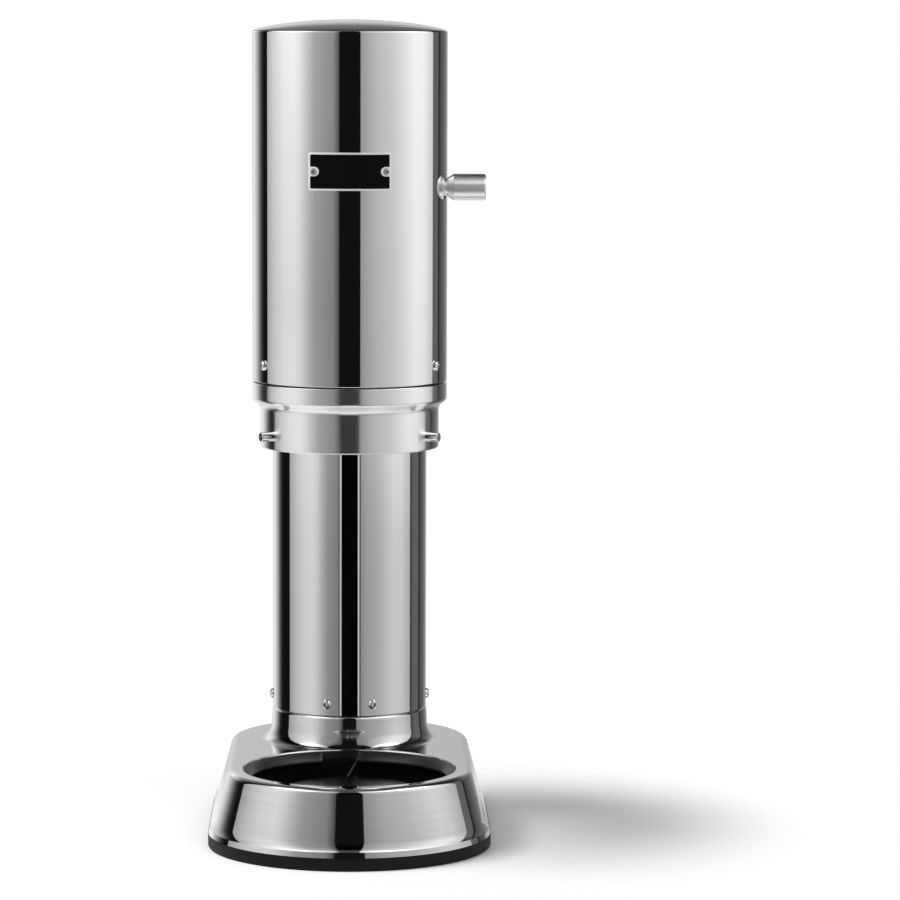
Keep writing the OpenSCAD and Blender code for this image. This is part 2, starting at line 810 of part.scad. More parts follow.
module foot_ring() {
    tread = [
        [foot_radius - foot_tread, 0],
        [foot_radius - foot_chamfer, 0],
        [foot_radius, foot_chamfer],
        [foot_radius, foot_height],
        [plate_radius, foot_height],
        [plate_radius, plate_bottom],
        [foot_radius - foot_tread, plate_bottom]
    ];
    color("black")
    stadium(tread);
}

module bayonet_ring() {
    wedge = [
        [lip_radius, lip_bottom],
        [opening_radius, lip_bottom],
        [opening_radius, ring_top],
        [opening_radius - ring_land, ring_top],
        [lip_radius, lip_top]
    ];
    notch = [
        [-notch_left, lip_bottom - cut],
        [notch_right - notch_ramp, lip_bottom - cut],
        [notch_right - notch_ramp, lip_bottom],
        [notch_right, ring_top],
        [notch_right, ring_top + cut],
        [-notch_left, ring_top + cut]
    ];
    color("black")
    translate([0, tray_y, 0])
        difference() {
            rotate_extrude()
                polygon(wedge);
            for (i = [0 : pin_count - 1])
                rotate([0, 0, 360 * i / pin_count])
                    intersection() {
                        translate([0, opening_radius + cut, 0])
                            rotate([90, 0, 0])
                                linear_extrude(height = opening_radius / 2)
                                    polygon(notch);
                        ring(opening_radius - notch_wall, lip_radius - cut, lip_bottom - cut, ring_top + cut);
                    }
        }
}

module drip_tray() {
    wall = opening_radius - tray_wall;
    ramp_top = notch_right - notch_ramp;
    ramp_foot = lip_bottom - ramp_drop;
    ramp = [
        [ramp_top, lip_bottom],
        [ramp_top + ramp_width, lip_bottom],
        [ramp_top + ramp_width - ramp_lean, ramp_foot],
        [ramp_top - ramp_lean, ramp_foot]
    ];
    bowl = [
        [0, tray_floor - tray_wall],
        [wall, tray_floor - tray_wall],
        [wall, foot_height],
        [opening_radius, foot_height],
        [opening_radius, lip_bottom],
        [wall, lip_bottom],
        [wall, tray_floor],
        [seat_radius, tray_floor],
        [seat_radius, seat_top],
        [seat_radius - seat_wall, seat_top],
        [seat_radius - seat_wall, tray_floor],
        [0, tray_floor]
    ];
    color("black")
    translate([0, tray_y, 0]) {
        rotate_extrude()
            polygon(bowl);
        for (i = [0 : pin_count - 1])
            rotate([0, 0, 360 * i / pin_count])
                intersection() {
                    translate([0, opening_radius, 0])
                        rotate([90, 0, 0])
                            linear_extrude(height = opening_radius / 2)
                                polygon(ramp);
                    ring(wall + tray_wall / 2, pin_reach / 2 + touch_clear, ramp_foot, lip_bottom);
                }
    }
}

module rest_plate() {
    spigot = seat_radius - seat_wall - moving_clear;
    edge = rest_diameter / 2;
    disc = [
        [0, seat_top],
        [spigot - spigot_wall, seat_top],
        [spigot - spigot_wall, seat_top - spigot_depth],
        [spigot, seat_top - spigot_depth],
        [spigot, seat_top + rest_clear],
        [edge, seat_top + rest_clear],
        [edge, rest_height - rest_chamfer],
        [edge - rest_chamfer, rest_height],
        [0, rest_height]
    ];
    color("silver")
    translate([0, tray_y, 0])
        rotate_extrude()
            polygon(disc);
}

module column_tube() {
    color("silver")
    translate([0, column_y, 0])
        difference() {
            ring(column_radius, column_bore, column_bottom, frame_bottom);
            translate([-slot_width / 2, -column_radius - cut, column_bottom - cut])
                cube([slot_width, column_radius / 2, slot_top - column_bottom + cut]);
            for (turn = column_turns)
                rotate([0, 0, turn - 90])
                    translate([0, 0, column_screw_z])
                        bar_x(screw_thread / 2, column_bore - cut, column_radius + cut);
        }
}

module column_sleeve() {
    color("dimgray")
    translate([0, column_y, 0])
        difference() {
            ring(column_bore, sleeve_bore, sleeve_bottom, sleeve_top);
            translate([-slot_width / 2, -column_radius - cut, neck_top])
                cube([slot_width, column_radius / 2, sleeve_top - neck_top + cut]);
            for (turn = column_turns)
                rotate([0, 0, turn - 90])
                    translate([0, 0, column_screw_z])
                        bar_x(screw_thread / 2, sleeve_bore - cut, column_bore + cut);
        }
}

module column_screws() {
    length = column_wall + sleeve_wall;
    color("gray")
    translate([0, column_y, column_screw_z])
        for (turn = column_turns)
            rotate([0, 0, turn - 90])
                button_screw(column_radius, screw_thread, screw_head, screw_head_height, length);
}

module guide_rods() {
    color("lightgray")
    for (side = [-1, 1])
        translate([side * rod_side, rod_y, bracket_bottom])
            cylinder(r = rod_radius, h = frame_top - bracket_bottom);
}

module rod_bracket() {
    front = column_y - sleeve_bore - cut;
    color("dimgray")
    difference() {
        intersection() {
            translate([0, column_y, bracket_bottom])
                cylinder(r = sleeve_bore, h = bracket_thickness);
            translate([-sleeve_bore, front, bracket_bottom - cut])
                cube([2 * sleeve_bore, bracket_back - front, bracket_thickness + 2 * cut]);
        }
        for (side = [-1, 1])
            translate([side * rod_side, rod_y, bracket_bottom - cut])
                cylinder(r = rod_radius, h = bracket_thickness + 2 * cut);
    }
}

module gas_cylinder() {
    bore = cylinder_radius - cylinder_wall;
    knee = cylinder_radius - knee_inset;
    shell = [
        [0, cylinder_foot + dish_height],
        [dish_radius, cylinder_foot],
        [cylinder_radius - heel_width, cylinder_foot],
        [cylinder_radius, cylinder_foot + heel_height],
        [cylinder_radius, shoulder_start],
        [knee, shoulder_start + shoulder_length * knee_part],
        [cylinder_neck / 2, shoulder_start + shoulder_length * neck_part],
        [cylinder_neck / 2, neck_end_z],
        [stem_radius, neck_end_z],
        [stem_radius, shoulder_start + shoulder_length * inner_neck_part],
        [knee - cylinder_wall, shoulder_start + shoulder_length * inner_knee_part],
        [bore, shoulder_start - cylinder_wall],
        [bore, cylinder_foot + inner_floor],
        [0, cylinder_foot + inner_floor]
    ];
    color("slategray")
    translate([0, cylinder_y, 0])
        rotate_extrude()
            polygon(shell);
}

module cylinder_valve() {
    color("goldenrod")
    translate([0, cylinder_y, 0])
        difference() {
            union() {
                translate([0, 0, neck_end_z - stem_length])
                    cylinder(r = stem_radius, h = stem_length);
                translate([0, 0, neck_end_z])
                    cylinder(r = cylinder_neck / 2, h = valve_hex, $fn = hexagon);
                translate([0, 0, thread_start])
                    cylinder(r = valve_thread / 2, h = valve_length);
            }
            translate([0, 0, cylinder_top - well_depth])
                cylinder(r = push_pin / 2 + moving_clear, h = well_depth + cut);
        }
}

module cylinder_seal() {
    color("black")
    translate([0, cylinder_y, 0])
        ring(valve_thread / 2, push_pin / 2 + seal_gap, cylinder_top, cylinder_top + seal_thickness);
}

module valve_block() {
    half = block_width / 2;
    color("lightgray")
    difference() {
        translate([-half, cylinder_y - half, block_bottom])
            cube([block_width, block_width, block_height]);
        translate([0, cylinder_y, block_bottom - cut])
            cylinder(r = valve_thread / 2, h = cylinder_top + seal_thickness - block_bottom + cut);
        translate([0, cylinder_y, block_bottom])
            cylinder(r = push_pin / 2 + running_clear, h = block_height + cut);
        translate([0, cylinder_y + half - relief_entry, port_z])
            bar_y(relief_diameter / 2 - relief_inset, 0, relief_entry + cut);
    }
}

module valve_bridge() {
    leg_middle = bridge_half - bridge_thickness / 2;
    color("gray")
    translate([0, cylinder_y, 0])
        difference() {
            union() {
                for (side = [-1, 1])
                    translate([side * leg_middle, 0, (frame_top + block_bottom) / 2])
                        cube([bridge_thickness, bridge_depth, block_bottom - frame_top], center = true);
                translate([-bridge_half, -bridge_depth / 2, block_bottom - bridge_thickness])
                    cube([2 * bridge_half, bridge_depth, bridge_thickness]);
                translate([0, 0, block_bottom - bridge_thickness])
                    cylinder(r = block_width / 2, h = bridge_thickness);
            }
            translate([0, 0, block_bottom - bridge_thickness - cut])
                cylinder(r = valve_thread / 2 + moving_clear, h = bridge_thickness + 2 * cut);
        }
}

module relief_valve() {
    radius = relief_diameter / 2;
    nut = relief_length * relief_nut;
    color("goldenrod")
    translate([0, cylinder_y + block_width / 2, port_z]) {
        bar_y(radius - relief_inset, -relief_entry, 0);
        bar_y(radius, 0, nut);
        bar_y(radius - relief_step, nut, relief_length);
    }
}

module push_pin_valve() {
    color("lightgray")
    translate([0, cylinder_y, 0]) {
        translate([0, 0, cylinder_top - push_entry])
            cylinder(r = push_pin / 2, h = head_underside - cylinder_top + push_entry);
        translate([0, 0, head_underside])
            cylinder(r = push_head / 2, h = push_top - head_underside);
    }
}

module return_spring() {
    wire = spring_wire / 2;
    low = [0, cylinder_y, block_top + wire];
    climb = (spring_height - 2 * wire - spring_slack) / (spring_turns * spring_steps);
    rings = [
        for (i = [0 : spring_turns * spring_steps])
            let (turn = 360 * i / spring_steps)
            [
                low + [spring_radius * cos(turn), spring_radius * sin(turn), climb * i],
                [-sin(turn), cos(turn), 0],
                [cos(turn), sin(turn), 0]
            ]
    ];
    color("gray")
    tube(rings, wire, spring_sides);
}

// One unbroken tube through a list of rings, each a middle, a direction and a side
module tube(rings, radius, sides) {
    last = len(rings) - 1;
    points = [
        for (r = rings)
            for (k = [0 : sides - 1])
                let (a = 360 * k / sides)
                r[0] + radius * (cos(a) * r[2] + sin(a) * cross(r[1], r[2]))
    ];
    walls = [
        for (i = [0 : last - 1])
            for (k = [0 : sides - 1])
                let (next = (k + 1) % sides)
                let (low = i * sides, high = (i + 1) * sides)
                for (side = [[high + k, high + next], [high + next, low + next]])
                    concat([low + k], side)
    ];
    first = [for (k = [0 : sides - 1]) k];
    end = [for (k = [sides - 1 : -1 : 0]) last * sides + k];
    polyhedron(points, concat([first], walls, [end]));
}

module gas_hose() {
    middle = (fixed_leg + moving_leg) / 2;
    along = [cos(loop_turn), sin(loop_turn), 0];
    across = [-sin(loop_turn), cos(loop_turn), 0];
    loop = [
        for (i = [0 : hose_steps])
            let (a = 180 * i / hose_steps)
            [
                [middle[0], middle[1], hose_low] + loop_radius * (cos(a) * along - [0, 0, sin(a)]),
                -sin(a) * along - [0, 0, cos(a)],
                across
            ]
    ];
    bend = [
        for (i = [0 : hose_steps])
            let (a = 90 * i / hose_steps)
            [
                [fixed_leg[0] + hose_bend * (1 - cos(a)), fixed_leg[1], hose_rise + hose_bend * sin(a)],
                [sin(a), 0, cos(a)],
                [across[0] * cos(a), across[1], -across[0] * sin(a)]
            ]
    ];
    rings = concat(
        [[[moving_leg[0], moving_leg[1], slide_bottom], [0, 0, -1], across]],
        loop,
        bend,
        [[[-block_width / 2, fixed_leg[1], port_z], [1, 0, 0], [0, across[1], -across[0]]]]
    );
    color("dimgray")
    tube(rings, hose_diameter / 2, hose_sides);
}

module head_shell() {
    color("silver")
    difference() {
        stadium_plate(head_radius, head_bottom, head_top);
        stadium_plate(head_bore, head_bottom - cut, head_top + cut);
        translate([0, lever_y, lever_z])
            bar_x(boss_radius, boss_inner - cut, head_radius + cut);
        translate([0, tray_y, head_screw_z])
            for (side = [-1, 1])
                rotate([0, 0, side * head_screw_turn - 90])
                    bar_x(screw_thread / 2, head_bore - cut, head_radius + cut);
        translate([0, tray_y, nameplate_z])
            for (side = [-1, 1])
                rotate([0, 0, side * nameplate_screw_turn - 90])
                    bar_x(small_thread / 2, head_bore - cut, head_radius + cut);
    }
}

module head_floor() {
    color("dimgray")
    difference() {
        stadium_plate(head_bore, head_bottom, floor_top);
        translate([0, tray_y, head_bottom - cut])
            cylinder(r = carriage_radius + moving_clear, h = floor_thickness + 2 * cut);
        translate([0, column_y, head_bottom - cut])
            cylinder(r = column_radius, h = floor_thickness + 2 * cut);
        translate([-floor_slot / 2, tray_y, head_bottom - cut])
            cube([floor_slot, axis_spacing, floor_thickness + 2 * cut]);
    }
}

module head_frame() {
    color("dimgray")
    difference() {
        stadium_plate(head_bore, frame_bottom, frame_top);
        translate([0, tray_y, frame_bottom - cut])
            cylinder(r = bell_radius + bell_room, h = frame_thickness + 2 * cut);
        translate([0, cylinder_y, frame_bottom - cut])
            cylinder(r = cylinder_radius + cylinder_room, h = frame_thickness + 2 * cut);
        translate([-riser_slot / 2, tray_y, frame_bottom - cut])
            cube([riser_slot, riser_y + riser_slot / 2 - tray_y, frame_thickness + 2 * cut]);
        translate([fixed_leg[0], fixed_leg[1], frame_bottom - cut])
            cylinder(r = hose_diameter / 2 + moving_clear, h = frame_thickness + 2 * cut);
        for (side = [-1, 1])
            translate([side * rod_side, rod_y, frame_bottom - cut])
                cylinder(r = rod_radius, h = frame_thickness + 2 * cut);
    }
}

module guide_ring() {
    color("dimgray")
    translate([0, tray_y, 0])
        difference() {
            ring(head_bore, carriage_radius + moving_clear, floor_top, floor_top + guide_height);
            translate([-guide_gap / 2, 0, floor_top - cut])
                cube([guide_gap, head_radius, guide_height + 2 * cut]);
            for (side = [-1, 1])
                rotate([0, 0, side * head_screw_turn - 90])
                    translate([0, 0, head_screw_z])
                        bar_x(screw_thread / 2, carriage_radius, head_radius);
        }
}

module head_screws() {
    length = head_radius - carriage_radius - moving_clear;
    color("gray")
    translate([0, tray_y, head_screw_z])
        for (side = [-1, 1])
            rotate([0, 0, side * head_screw_turn - 90])
                button_screw(head_radius, screw_thread, screw_head, screw_head_height, length);
}

module lid() {
    edge = head_radius - lid_inset;
    inner = head_bore - lid_wall;
    under = crown(inner, head_top, crown_height - lid_wall);
    dome = concat(
        [[head_bore, head_top], [edge, head_top]],
        crown(edge, head_top, crown_height),
        [for (i = [crown_steps : -1 : 0]) under[i]],
        [[inner, head_top - rim_depth], [head_bore, head_top - rim_depth]]
    );
    color("silver")
    stadium(dome);
}

// Outline with round corners, centred
module rounded_outline(width, height, corner) {
    square([width - 2 * corner, height], center = true);
    square([width, height - 2 * corner], center = true);
    for (x = [-1, 1])
        for (y = [-1, 1])
            translate([x * (width / 2 - corner), y * (height / 2 - corner)])
                circle(r = corner);
}

module nameplate() {
    face = nameplate_face;
    color("dimgray")
    translate([0, tray_y, nameplate_z])
        difference() {
            intersection() {
                ring(face, head_radius, -nameplate_height, nameplate_height);
                rotate([90, 0, 0])
                    linear_extrude(height = face + cut)
                        rounded_outline(nameplate_width, nameplate_height, nameplate_corner);
            }
            intersection() {
                ring(face + cut, face - nameplate_sink, -nameplate_height, nameplate_height);
                rotate([90, 0, 0])
                    linear_extrude(height = face + 2 * cut)
                        difference() {
                            rounded_outline(
                                nameplate_width - 2 * nameplate_border,
                                nameplate_height - 2 * nameplate_border,
                                nameplate_corner - nameplate_border / 2
                            );
                            for (side = [-1, 1])
                                translate([side * nameplate_screw_side, 0]) {
                                    circle(r = nameplate_tab);
                                    translate([side * nameplate_tab, 0])
                                        square(2 * nameplate_tab, center = true);
                                }
                        }
            }
            for (side = [-1, 1])
                rotate([0, 0, side * nameplate_screw_turn - 90])
                    bar_x(small_thread / 2, head_radius - cut, face + cut);
        }
}

module nameplate_screws() {
    length = nameplate_thickness + head_wall;
    color("gray")
    translate([0, tray_y, nameplate_z])
        for (side = [-1, 1])
            rotate([0, 0, side * nameplate_screw_turn - 90])
                button_screw(nameplate_face, small_thread, small_head, small_head_height, length);
}

module lever_boss() {
    color("silver")
    difference() {
        translate([0, lever_y, lever_z])
            difference() {
                bar_x(boss_radius, boss_inner, boss_reach);
                bar_x(boss_bore / 2, boss_inner - cut, boss_reach + cut);
                translate([pivot_side, 0, 0])
                    bar_y(pivot_diameter / 2, pivot_inset - boss_radius, boss_radius + cut);
            }
        intersection() {
            translate([0, tray_y, lever_z + finger_radius])
                cylinder(r = head_bore, h = boss_diameter);
            translate([boss_inner - cut, lever_y - boss_diameter, lever_z])
                cube([head_radius, 2 * boss_diameter, boss_diameter]);
        }
    }
}

module lever_pin() {
    color("gray")
    translate([pivot_side, lever_y, lever_z])
        bar_y(pivot_diameter / 2, pivot_inset - boss_radius, boss_radius - pivot_inset);
}

module lever() {
    knob = knob_diameter / 2;
    color("silver")
    translate([0, lever_y, lever_z])
        difference() {
            union() {
                bar_x(lever_neck / 2, pivot_side, neck_end);
                translate([neck_end, 0, 0])
                    rotate([0, 90, 0])
                        cylinder(r1 = lever_neck / 2, r2 = knob, h = lever_cone);
                bar_x(knob, cone_end, knob_end - knob_chamfer);
                translate([knob_end - knob_chamfer, 0, 0])
                    rotate([0, 90, 0])
                        cylinder(r1 = knob, r2 = knob - knob_chamfer, h = knob_chamfer);
                translate([pivot_side, 0, 0])
                    bar_y(finger_radius, -hub_half, hub_half);
                translate([pivot_side - finger_reach, 0, 0])
                    bar_y(finger_radius, -finger_width / 2, finger_width / 2);
                translate([pivot_side - finger_reach, -finger_width / 2, -finger_radius])
                    cube([finger_reach, finger_width, 2 * finger_radius]);
            }
            translate([pivot_side, 0, 0])
                bar_y(pivot_diameter / 2 + running_clear, -boss_radius, boss_radius);
        }
}

module rocker() {
    bar = concat(
        arc([0, 0], rocker_outer, -bar_turn, 0),
        [[rocker_outer, rocker_back], [rocker_inner, rocker_back]],
        arc([0, 0], rocker_inner, 0, -bar_turn)
    );
    pad = concat(
        arc([0, 0], pad_inner + pad_width, -bar_turn, pad_turn - bar_turn),
        arc([0, 0], pad_inner, pad_turn - bar_turn, -bar_turn)
    );
    color("gray")
    difference() {
        union() {
            translate([0, tray_y, bar_bottom])
                linear_extrude(height = rocker_bar)
                    polygon(bar);
            translate([0, tray_y, pad_bottom])
                linear_extrude(height = bar_top - pad_bottom)
                    polygon(pad);
            translate([rocker_inner, rocker_y - rocker_hub / 2, bar_bottom])
                cube([rocker_thickness, rocker_hub, arm_z + rocker_arm - bar_bottom]);
            translate([rocker_inner, rocker_y, arm_z])
                cube([rocker_thickness, cylinder_y + cross_back - rocker_y, rocker_arm]);
            translate([-push_head / 2, cylinder_y - cross_front, arm_z])
                cube([rocker_outer + push_head / 2, cross_front + cross_back, rocker_arm]);
        }
        translate([0, rocker_y, rocker_z])
            bar_x(rocker_shaft_diameter / 2 + running_clear, rocker_inner - cut, rocker_outer + cut);
    }
}

module rocker_bracket() {
    color("dimgray")
    difference() {
        translate([bracket_left, rocker_y - rocker_hub / 2, frame_top])
            cube([bracket_width, rocker_hub, rocker_z + rocker_hub / 2 - frame_top]);
        translate([0, rocker_y, rocker_z])
            bar_x(rocker_shaft_diameter / 2, bracket_left - cut, rocker_inner);
    }
}

module rocker_shaft() {
    color("lightgray")
    translate([0, rocker_y, rocker_z])
        bar_x(rocker_shaft_diameter / 2, bracket_left, rocker_outer + shaft_end);
}

module bell_tube() {
    color("silver")
    translate([0, tray_y, 0])
        ring(bell_radius, bell_bore, bell_bottom, bell_top);
}

module bell_cap() {
    color("silver")
    difference() {
        translate([0, tray_y, bell_top])
            cylinder(r = bell_radius, h = cap_thickness);
        translate([0, tray_y, bell_top - cut])
            cylinder(r = nozzle_diameter / 2, h = cap_thickness + 2 * cut);
        translate([0, 0, riser_top])
            bar_y(riser_diameter / 2 - riser_step, bell_back - riser_entry, bell_back + cut);
    }
}

module nozzle() {
    color("silver")
    translate([0, tray_y, 0])
        ring(nozzle_diameter / 2, nozzle_bore / 2, bell_top - nozzle_length, cap_top);
}

module mouth_seal() {
    color("black")
    translate([0, tray_y, 0])
        ring(mouth_seal_diameter / 2, nozzle_diameter / 2, bell_top - mouth_seal_thickness, bell_top);
}

module carriage() {
    arm_front = tray_y + carriage_radius - cut;
    color("dimgray")
    difference() {
        union() {
            translate([0, tray_y, 0])
                ring(carriage_radius, bell_radius, carriage_bottom, carriage_top);
            translate([-arm_width / 2, arm_front, arm_bottom])
                cube([arm_width, slide_front + cut - arm_front, arm_height]);
            intersection() {
                translate([0, column_y, slide_bottom])
                    cylinder(r = slide_radius, h = carriage_top - slide_bottom);
                translate([-column_radius, slide_front, slide_bottom - cut])
                    cube([2 * column_radius, slide_depth, carriage_top - slide_bottom + 2 * cut]);
            }
        }
        for (side = [-1, 1])
            translate([side * rod_side, rod_y, slide_bottom - cut])
                cylinder(r = bush_radius, h = carriage_top - slide_bottom + 2 * cut);
    }
}

module slide_bushes() {
    color("khaki")
    for (side = [-1, 1])
        translate([side * rod_side, rod_y, 0])
            ring(bush_radius, rod_radius + running_clear, slide_bottom, carriage_top);
}

module riser_pipe() {
    radius = riser_diameter / 2;
    color("silver")
    difference() {
        union() {
            translate([0, riser_y, arm_top])
                cylinder(r = radius, h = riser_top - arm_top);
            translate([0, riser_y, riser_top])
                sphere(r = radius);
            translate([0, 0, riser_top])
                bar_y(radius - riser_step, bell_back - riser_entry, riser_y);
        }
        translate([0, riser_y, arm_top - cut])
            cylinder(r = riser_bore / 2, h = riser_top - arm_top + cut);
        translate([0, 0, riser_top])
            bar_y(riser_bore / 2, bell_back - riser_entry - cut, riser_y);
    }
}

module collar_retainer() {
    color("gray")
    translate([0, tray_y, 0])
        ring(retainer_radius, bell_bore, retainer_bottom, bell_bottom);
}

module collar() {
    step = collar_top - grip_height;
    rounding = [head_radius - grip_round, step];
    slope_start = rounding + grip_round * [cos(grip_turn), -sin(grip_turn)];
    hollow_x = collar_radius + grip_hollow;
    slope_end_x = hollow_x - grip_hollow * cos(grip_turn);
    slope_run = (slope_start[0] - slope_end_x) / sin(grip_turn);
    hollow_z = slope_start[1] - slope_run * cos(grip_turn) - grip_hollow * sin(grip_turn);
    profile = concat(
        [
            [collar_bore, collar_top],
            [head_radius - collar_edge, collar_top],
            [head_radius, collar_top - collar_edge]
        ],
        arc(rounding, grip_round, 0, -grip_turn),
        arc([hollow_x, hollow_z], grip_hollow, 180 - grip_turn, 180),
        [
            [collar_radius, collar_bottom + collar_chamfer],
            [collar_radius - collar_chamfer, collar_bottom],
            [retainer_radius + moving_clear, collar_bottom],
            [retainer_radius + moving_clear, bell_bottom + touch_clear],
            [collar_bore, bell_bottom + touch_clear]
        ]
    );
    color("lightgray")
    translate([0, tray_y, 0])
        difference() {
            rotate_extrude()
                polygon(profile);
            pin_places()
                bar_x(pin_radius, pin_root, collar_radius + cut);
        }
}

// Places of the bayonet pins round the collar, one of them at the rear
module pin_places() {
    for (i = [0 : pin_count - 1])
        rotate([0, 0, 90 + 360 * i / pin_count])
            translate([0, 0, pin_z])
                children();
}

module bayonet_pins() {
    tip = pin_reach / 2;
    color("gray")
    translate([0, tray_y, 0])
        pin_places()
            difference() {
                union() {
                    bar_x(pin_radius, pin_root, tip - pin_chamfer);
                    translate([tip - pin_chamfer, 0, 0])
                        rotate([0, 90, 0])
                            cylinder(r1 = pin_radius, r2 = pin_radius - pin_chamfer, h = pin_chamfer);
                }
                translate([tip - pin_socket, 0, 0])
                    rotate([0, 90, 0])
                        cylinder(r = pin_radius * pin_hollow, h = pin_socket + cut, $fn = hexagon);
            }
}

base_shell();
base_plate();
base_screws();
foot_ring();
bayonet_ring();
drip_tray();
rest_plate();
column_tube();
column_sleeve();
column_screws();
guide_rods();
rod_bracket();
gas_cylinder();
cylinder_valve();
cylinder_seal();
valve_block();
valve_bridge();
relief_valve();
push_pin_valve();
return_spring();
gas_hose();
head_shell();
head_floor();
head_frame();
guide_ring();
head_screws();
lid();
nameplate();
nameplate_screws();
lever_boss();
lever_pin();
lever();
rocker();
rocker_bracket();
rocker_shaft();
bell_tube();
bell_cap();
nozzle();
mouth_seal();
carriage();
slide_bushes();
riser_pipe();
collar_retainer();
collar();
bayonet_pins();
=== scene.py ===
"""Looks of a sparkling water maker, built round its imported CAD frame, in metres."""

import json
import math

import bmesh
import bpy
from mathutils import Matrix, Vector


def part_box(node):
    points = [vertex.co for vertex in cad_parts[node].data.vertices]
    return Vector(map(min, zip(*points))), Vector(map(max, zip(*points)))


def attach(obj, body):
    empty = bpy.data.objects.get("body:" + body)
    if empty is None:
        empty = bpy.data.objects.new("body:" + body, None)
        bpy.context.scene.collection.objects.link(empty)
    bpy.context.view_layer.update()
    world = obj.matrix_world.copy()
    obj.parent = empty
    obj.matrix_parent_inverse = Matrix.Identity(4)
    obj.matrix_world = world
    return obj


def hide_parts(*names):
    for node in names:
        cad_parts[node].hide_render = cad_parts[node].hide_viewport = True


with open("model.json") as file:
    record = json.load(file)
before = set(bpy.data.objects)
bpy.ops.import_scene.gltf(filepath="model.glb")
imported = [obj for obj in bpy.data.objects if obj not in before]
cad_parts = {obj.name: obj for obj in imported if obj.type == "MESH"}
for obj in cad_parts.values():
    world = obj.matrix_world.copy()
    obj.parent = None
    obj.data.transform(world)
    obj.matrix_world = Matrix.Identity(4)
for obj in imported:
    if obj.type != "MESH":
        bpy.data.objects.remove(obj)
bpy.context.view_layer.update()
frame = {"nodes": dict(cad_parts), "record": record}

MM = 0.001

# How finely round shapes are divided
ROUND_STEPS = 192
SMALL_STEPS = 48
ARC_STEPS = 8
CORNER_STEPS = 5
MERGE = 0.0005 * MM
SHARP = math.radians(35)

# Boxes of the frame's main nodes
head_low, head_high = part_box("head_shell")
lid_low, lid_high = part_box("lid")
column_low, column_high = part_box("column_tube")
base_low, base_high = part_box("base_shell")
foot_low, foot_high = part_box("foot_ring")
tray_low, tray_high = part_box("drip_tray")
bayonet_low, bayonet_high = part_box("bayonet_ring")
rest_low, rest_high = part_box("rest_plate")
collar_low, collar_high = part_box("collar")
pins_low, pins_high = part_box("bayonet_pins")
plate_low, plate_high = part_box("nameplate")
boss_low, boss_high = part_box("lever_boss")
lever_low, lever_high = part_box("lever")
head_screw_low, head_screw_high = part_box("head_screws")
column_screw_low, column_screw_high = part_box("column_screws")

# The two upright axes and the main radii and heights
SHEET_WALL = 1 * MM
RING_DROP = 0.7 * MM
HEAD_R = head_high.x
TRAY_Y = head_low.y + HEAD_R
COLUMN_Y = head_high.y - HEAD_R
HEAD_BOTTOM = head_low.z
HEAD_TOP = head_high.z
HEAD_BORE = HEAD_R - SHEET_WALL
COLUMN_R = column_high.x
COLUMN_BORE = COLUMN_R - SHEET_WALL
FOOT_R = foot_high.x
FOOT_TOP = base_low.z
OPENING_R = tray_high.x
BASE_TOP = bayonet_high.z + RING_DROP
NECK_TOP = base_high.z

# Base
BASE_WALL = 1.2 * MM
SKIRT_INSET = 10.8 * MM
SKIRT_TOP_R = FOOT_R - SKIRT_INSET
SKIRT_TILT = 15
SHOULDER_R = 4 * MM
FLARE_TOP = 14.5 * MM
FLARE_R = 12 * MM
FLARE_SWEEP = 25
LIP_ROUND = 1 * MM
NECK_PLAY = 0.3 * MM
NECK_R = COLUMN_R + NECK_PLAY
NECK_LEAN = math.radians(2.0)
NECK_FILLET = 6 * MM
NECK_RISE = 9.5 * MM
NECK_FLARE = 0.55 * MM
FILLET_STEPS = 16
NECK_EDGE = 2 * MM
FILLET_DIP = 0.02 * MM
RIM_ROUND = 0.8 * MM
RIM_WALL = 1.2 * MM
EDGE_ROUND = 0.5 * MM
FOOT_TREAD = 12 * MM
FOOT_ROUND = 1.2 * MM
BASE_PLATE_INSET = 3.5 * MM
BASE_PLATE_DEPTH = 2.6 * MM
BASE_PLATE_BOTTOM = FOOT_TOP - BASE_PLATE_DEPTH

# Drip tray with its ramps, rest plate and the bayonet ring's edge
TRAY_WALL = 2 * MM
TRAY_WALL_R = OPENING_R - TRAY_WALL
TRAY_FLOOR = 14 * MM
SEAT_R = 26 * MM
SEAT_WALL = 4 * MM
SPIGOT_R = 21.6 * MM
SPIGOT_WALL = 2 * MM
SPIGOT_DEPTH = 4 * MM
SEAT_TOP = rest_low.z + SPIGOT_DEPTH
RAMP_COUNT = 3
RAMP_R = 54.8 * MM
RAMP_SIDE = 3.3 * MM
RAMP_LEAN = 5 * MM
RAMP_DROP = 8.3 * MM
RAMP_WIDTH = 1.2 * MM
RING_EDGE = 0.25 * MM

# Column slot, whose edges fold inwards
SLOT_HALF = 4.25 * MM
FOLD_R = 1.9 * MM

# Head and lid
LID_R = lid_high.x
HEAD_EDGE = 0.9 * MM
CROWN_HEIGHT = lid_high.z - HEAD_TOP
CROWN_POWER = 0.75
CROWN_STEPS = 28
LID_WALL = 1.4 * MM

# Collar
COLLAR_R = 47.7 * MM
COLLAR_BORE = 44.56 * MM
COLLAR_TOP = collar_high.z
COLLAR_BOTTOM = collar_low.z
GRIP_HEIGHT = 7.9 * MM
GRIP_ROUND = 2.6 * MM
GRIP_HOLLOW = 4 * MM
GRIP_TURN = 50
COLLAR_ROUND = 1 * MM
RETAINER_INSET = 1 * MM
RETAINER_R = COLLAR_R - RETAINER_INSET
RETAINER_DEPTH = 2.8 * MM

# Bayonet pins
PIN_R = 2.5 * MM
PIN_Z = (pins_low.z + pins_high.z) / 2
PIN_TIP = 54.5 * MM
PIN_SETBACK = 0.6 * MM
PIN_ROOT = COLLAR_BORE + PIN_SETBACK
PIN_TURNS = (90, 210, 330)

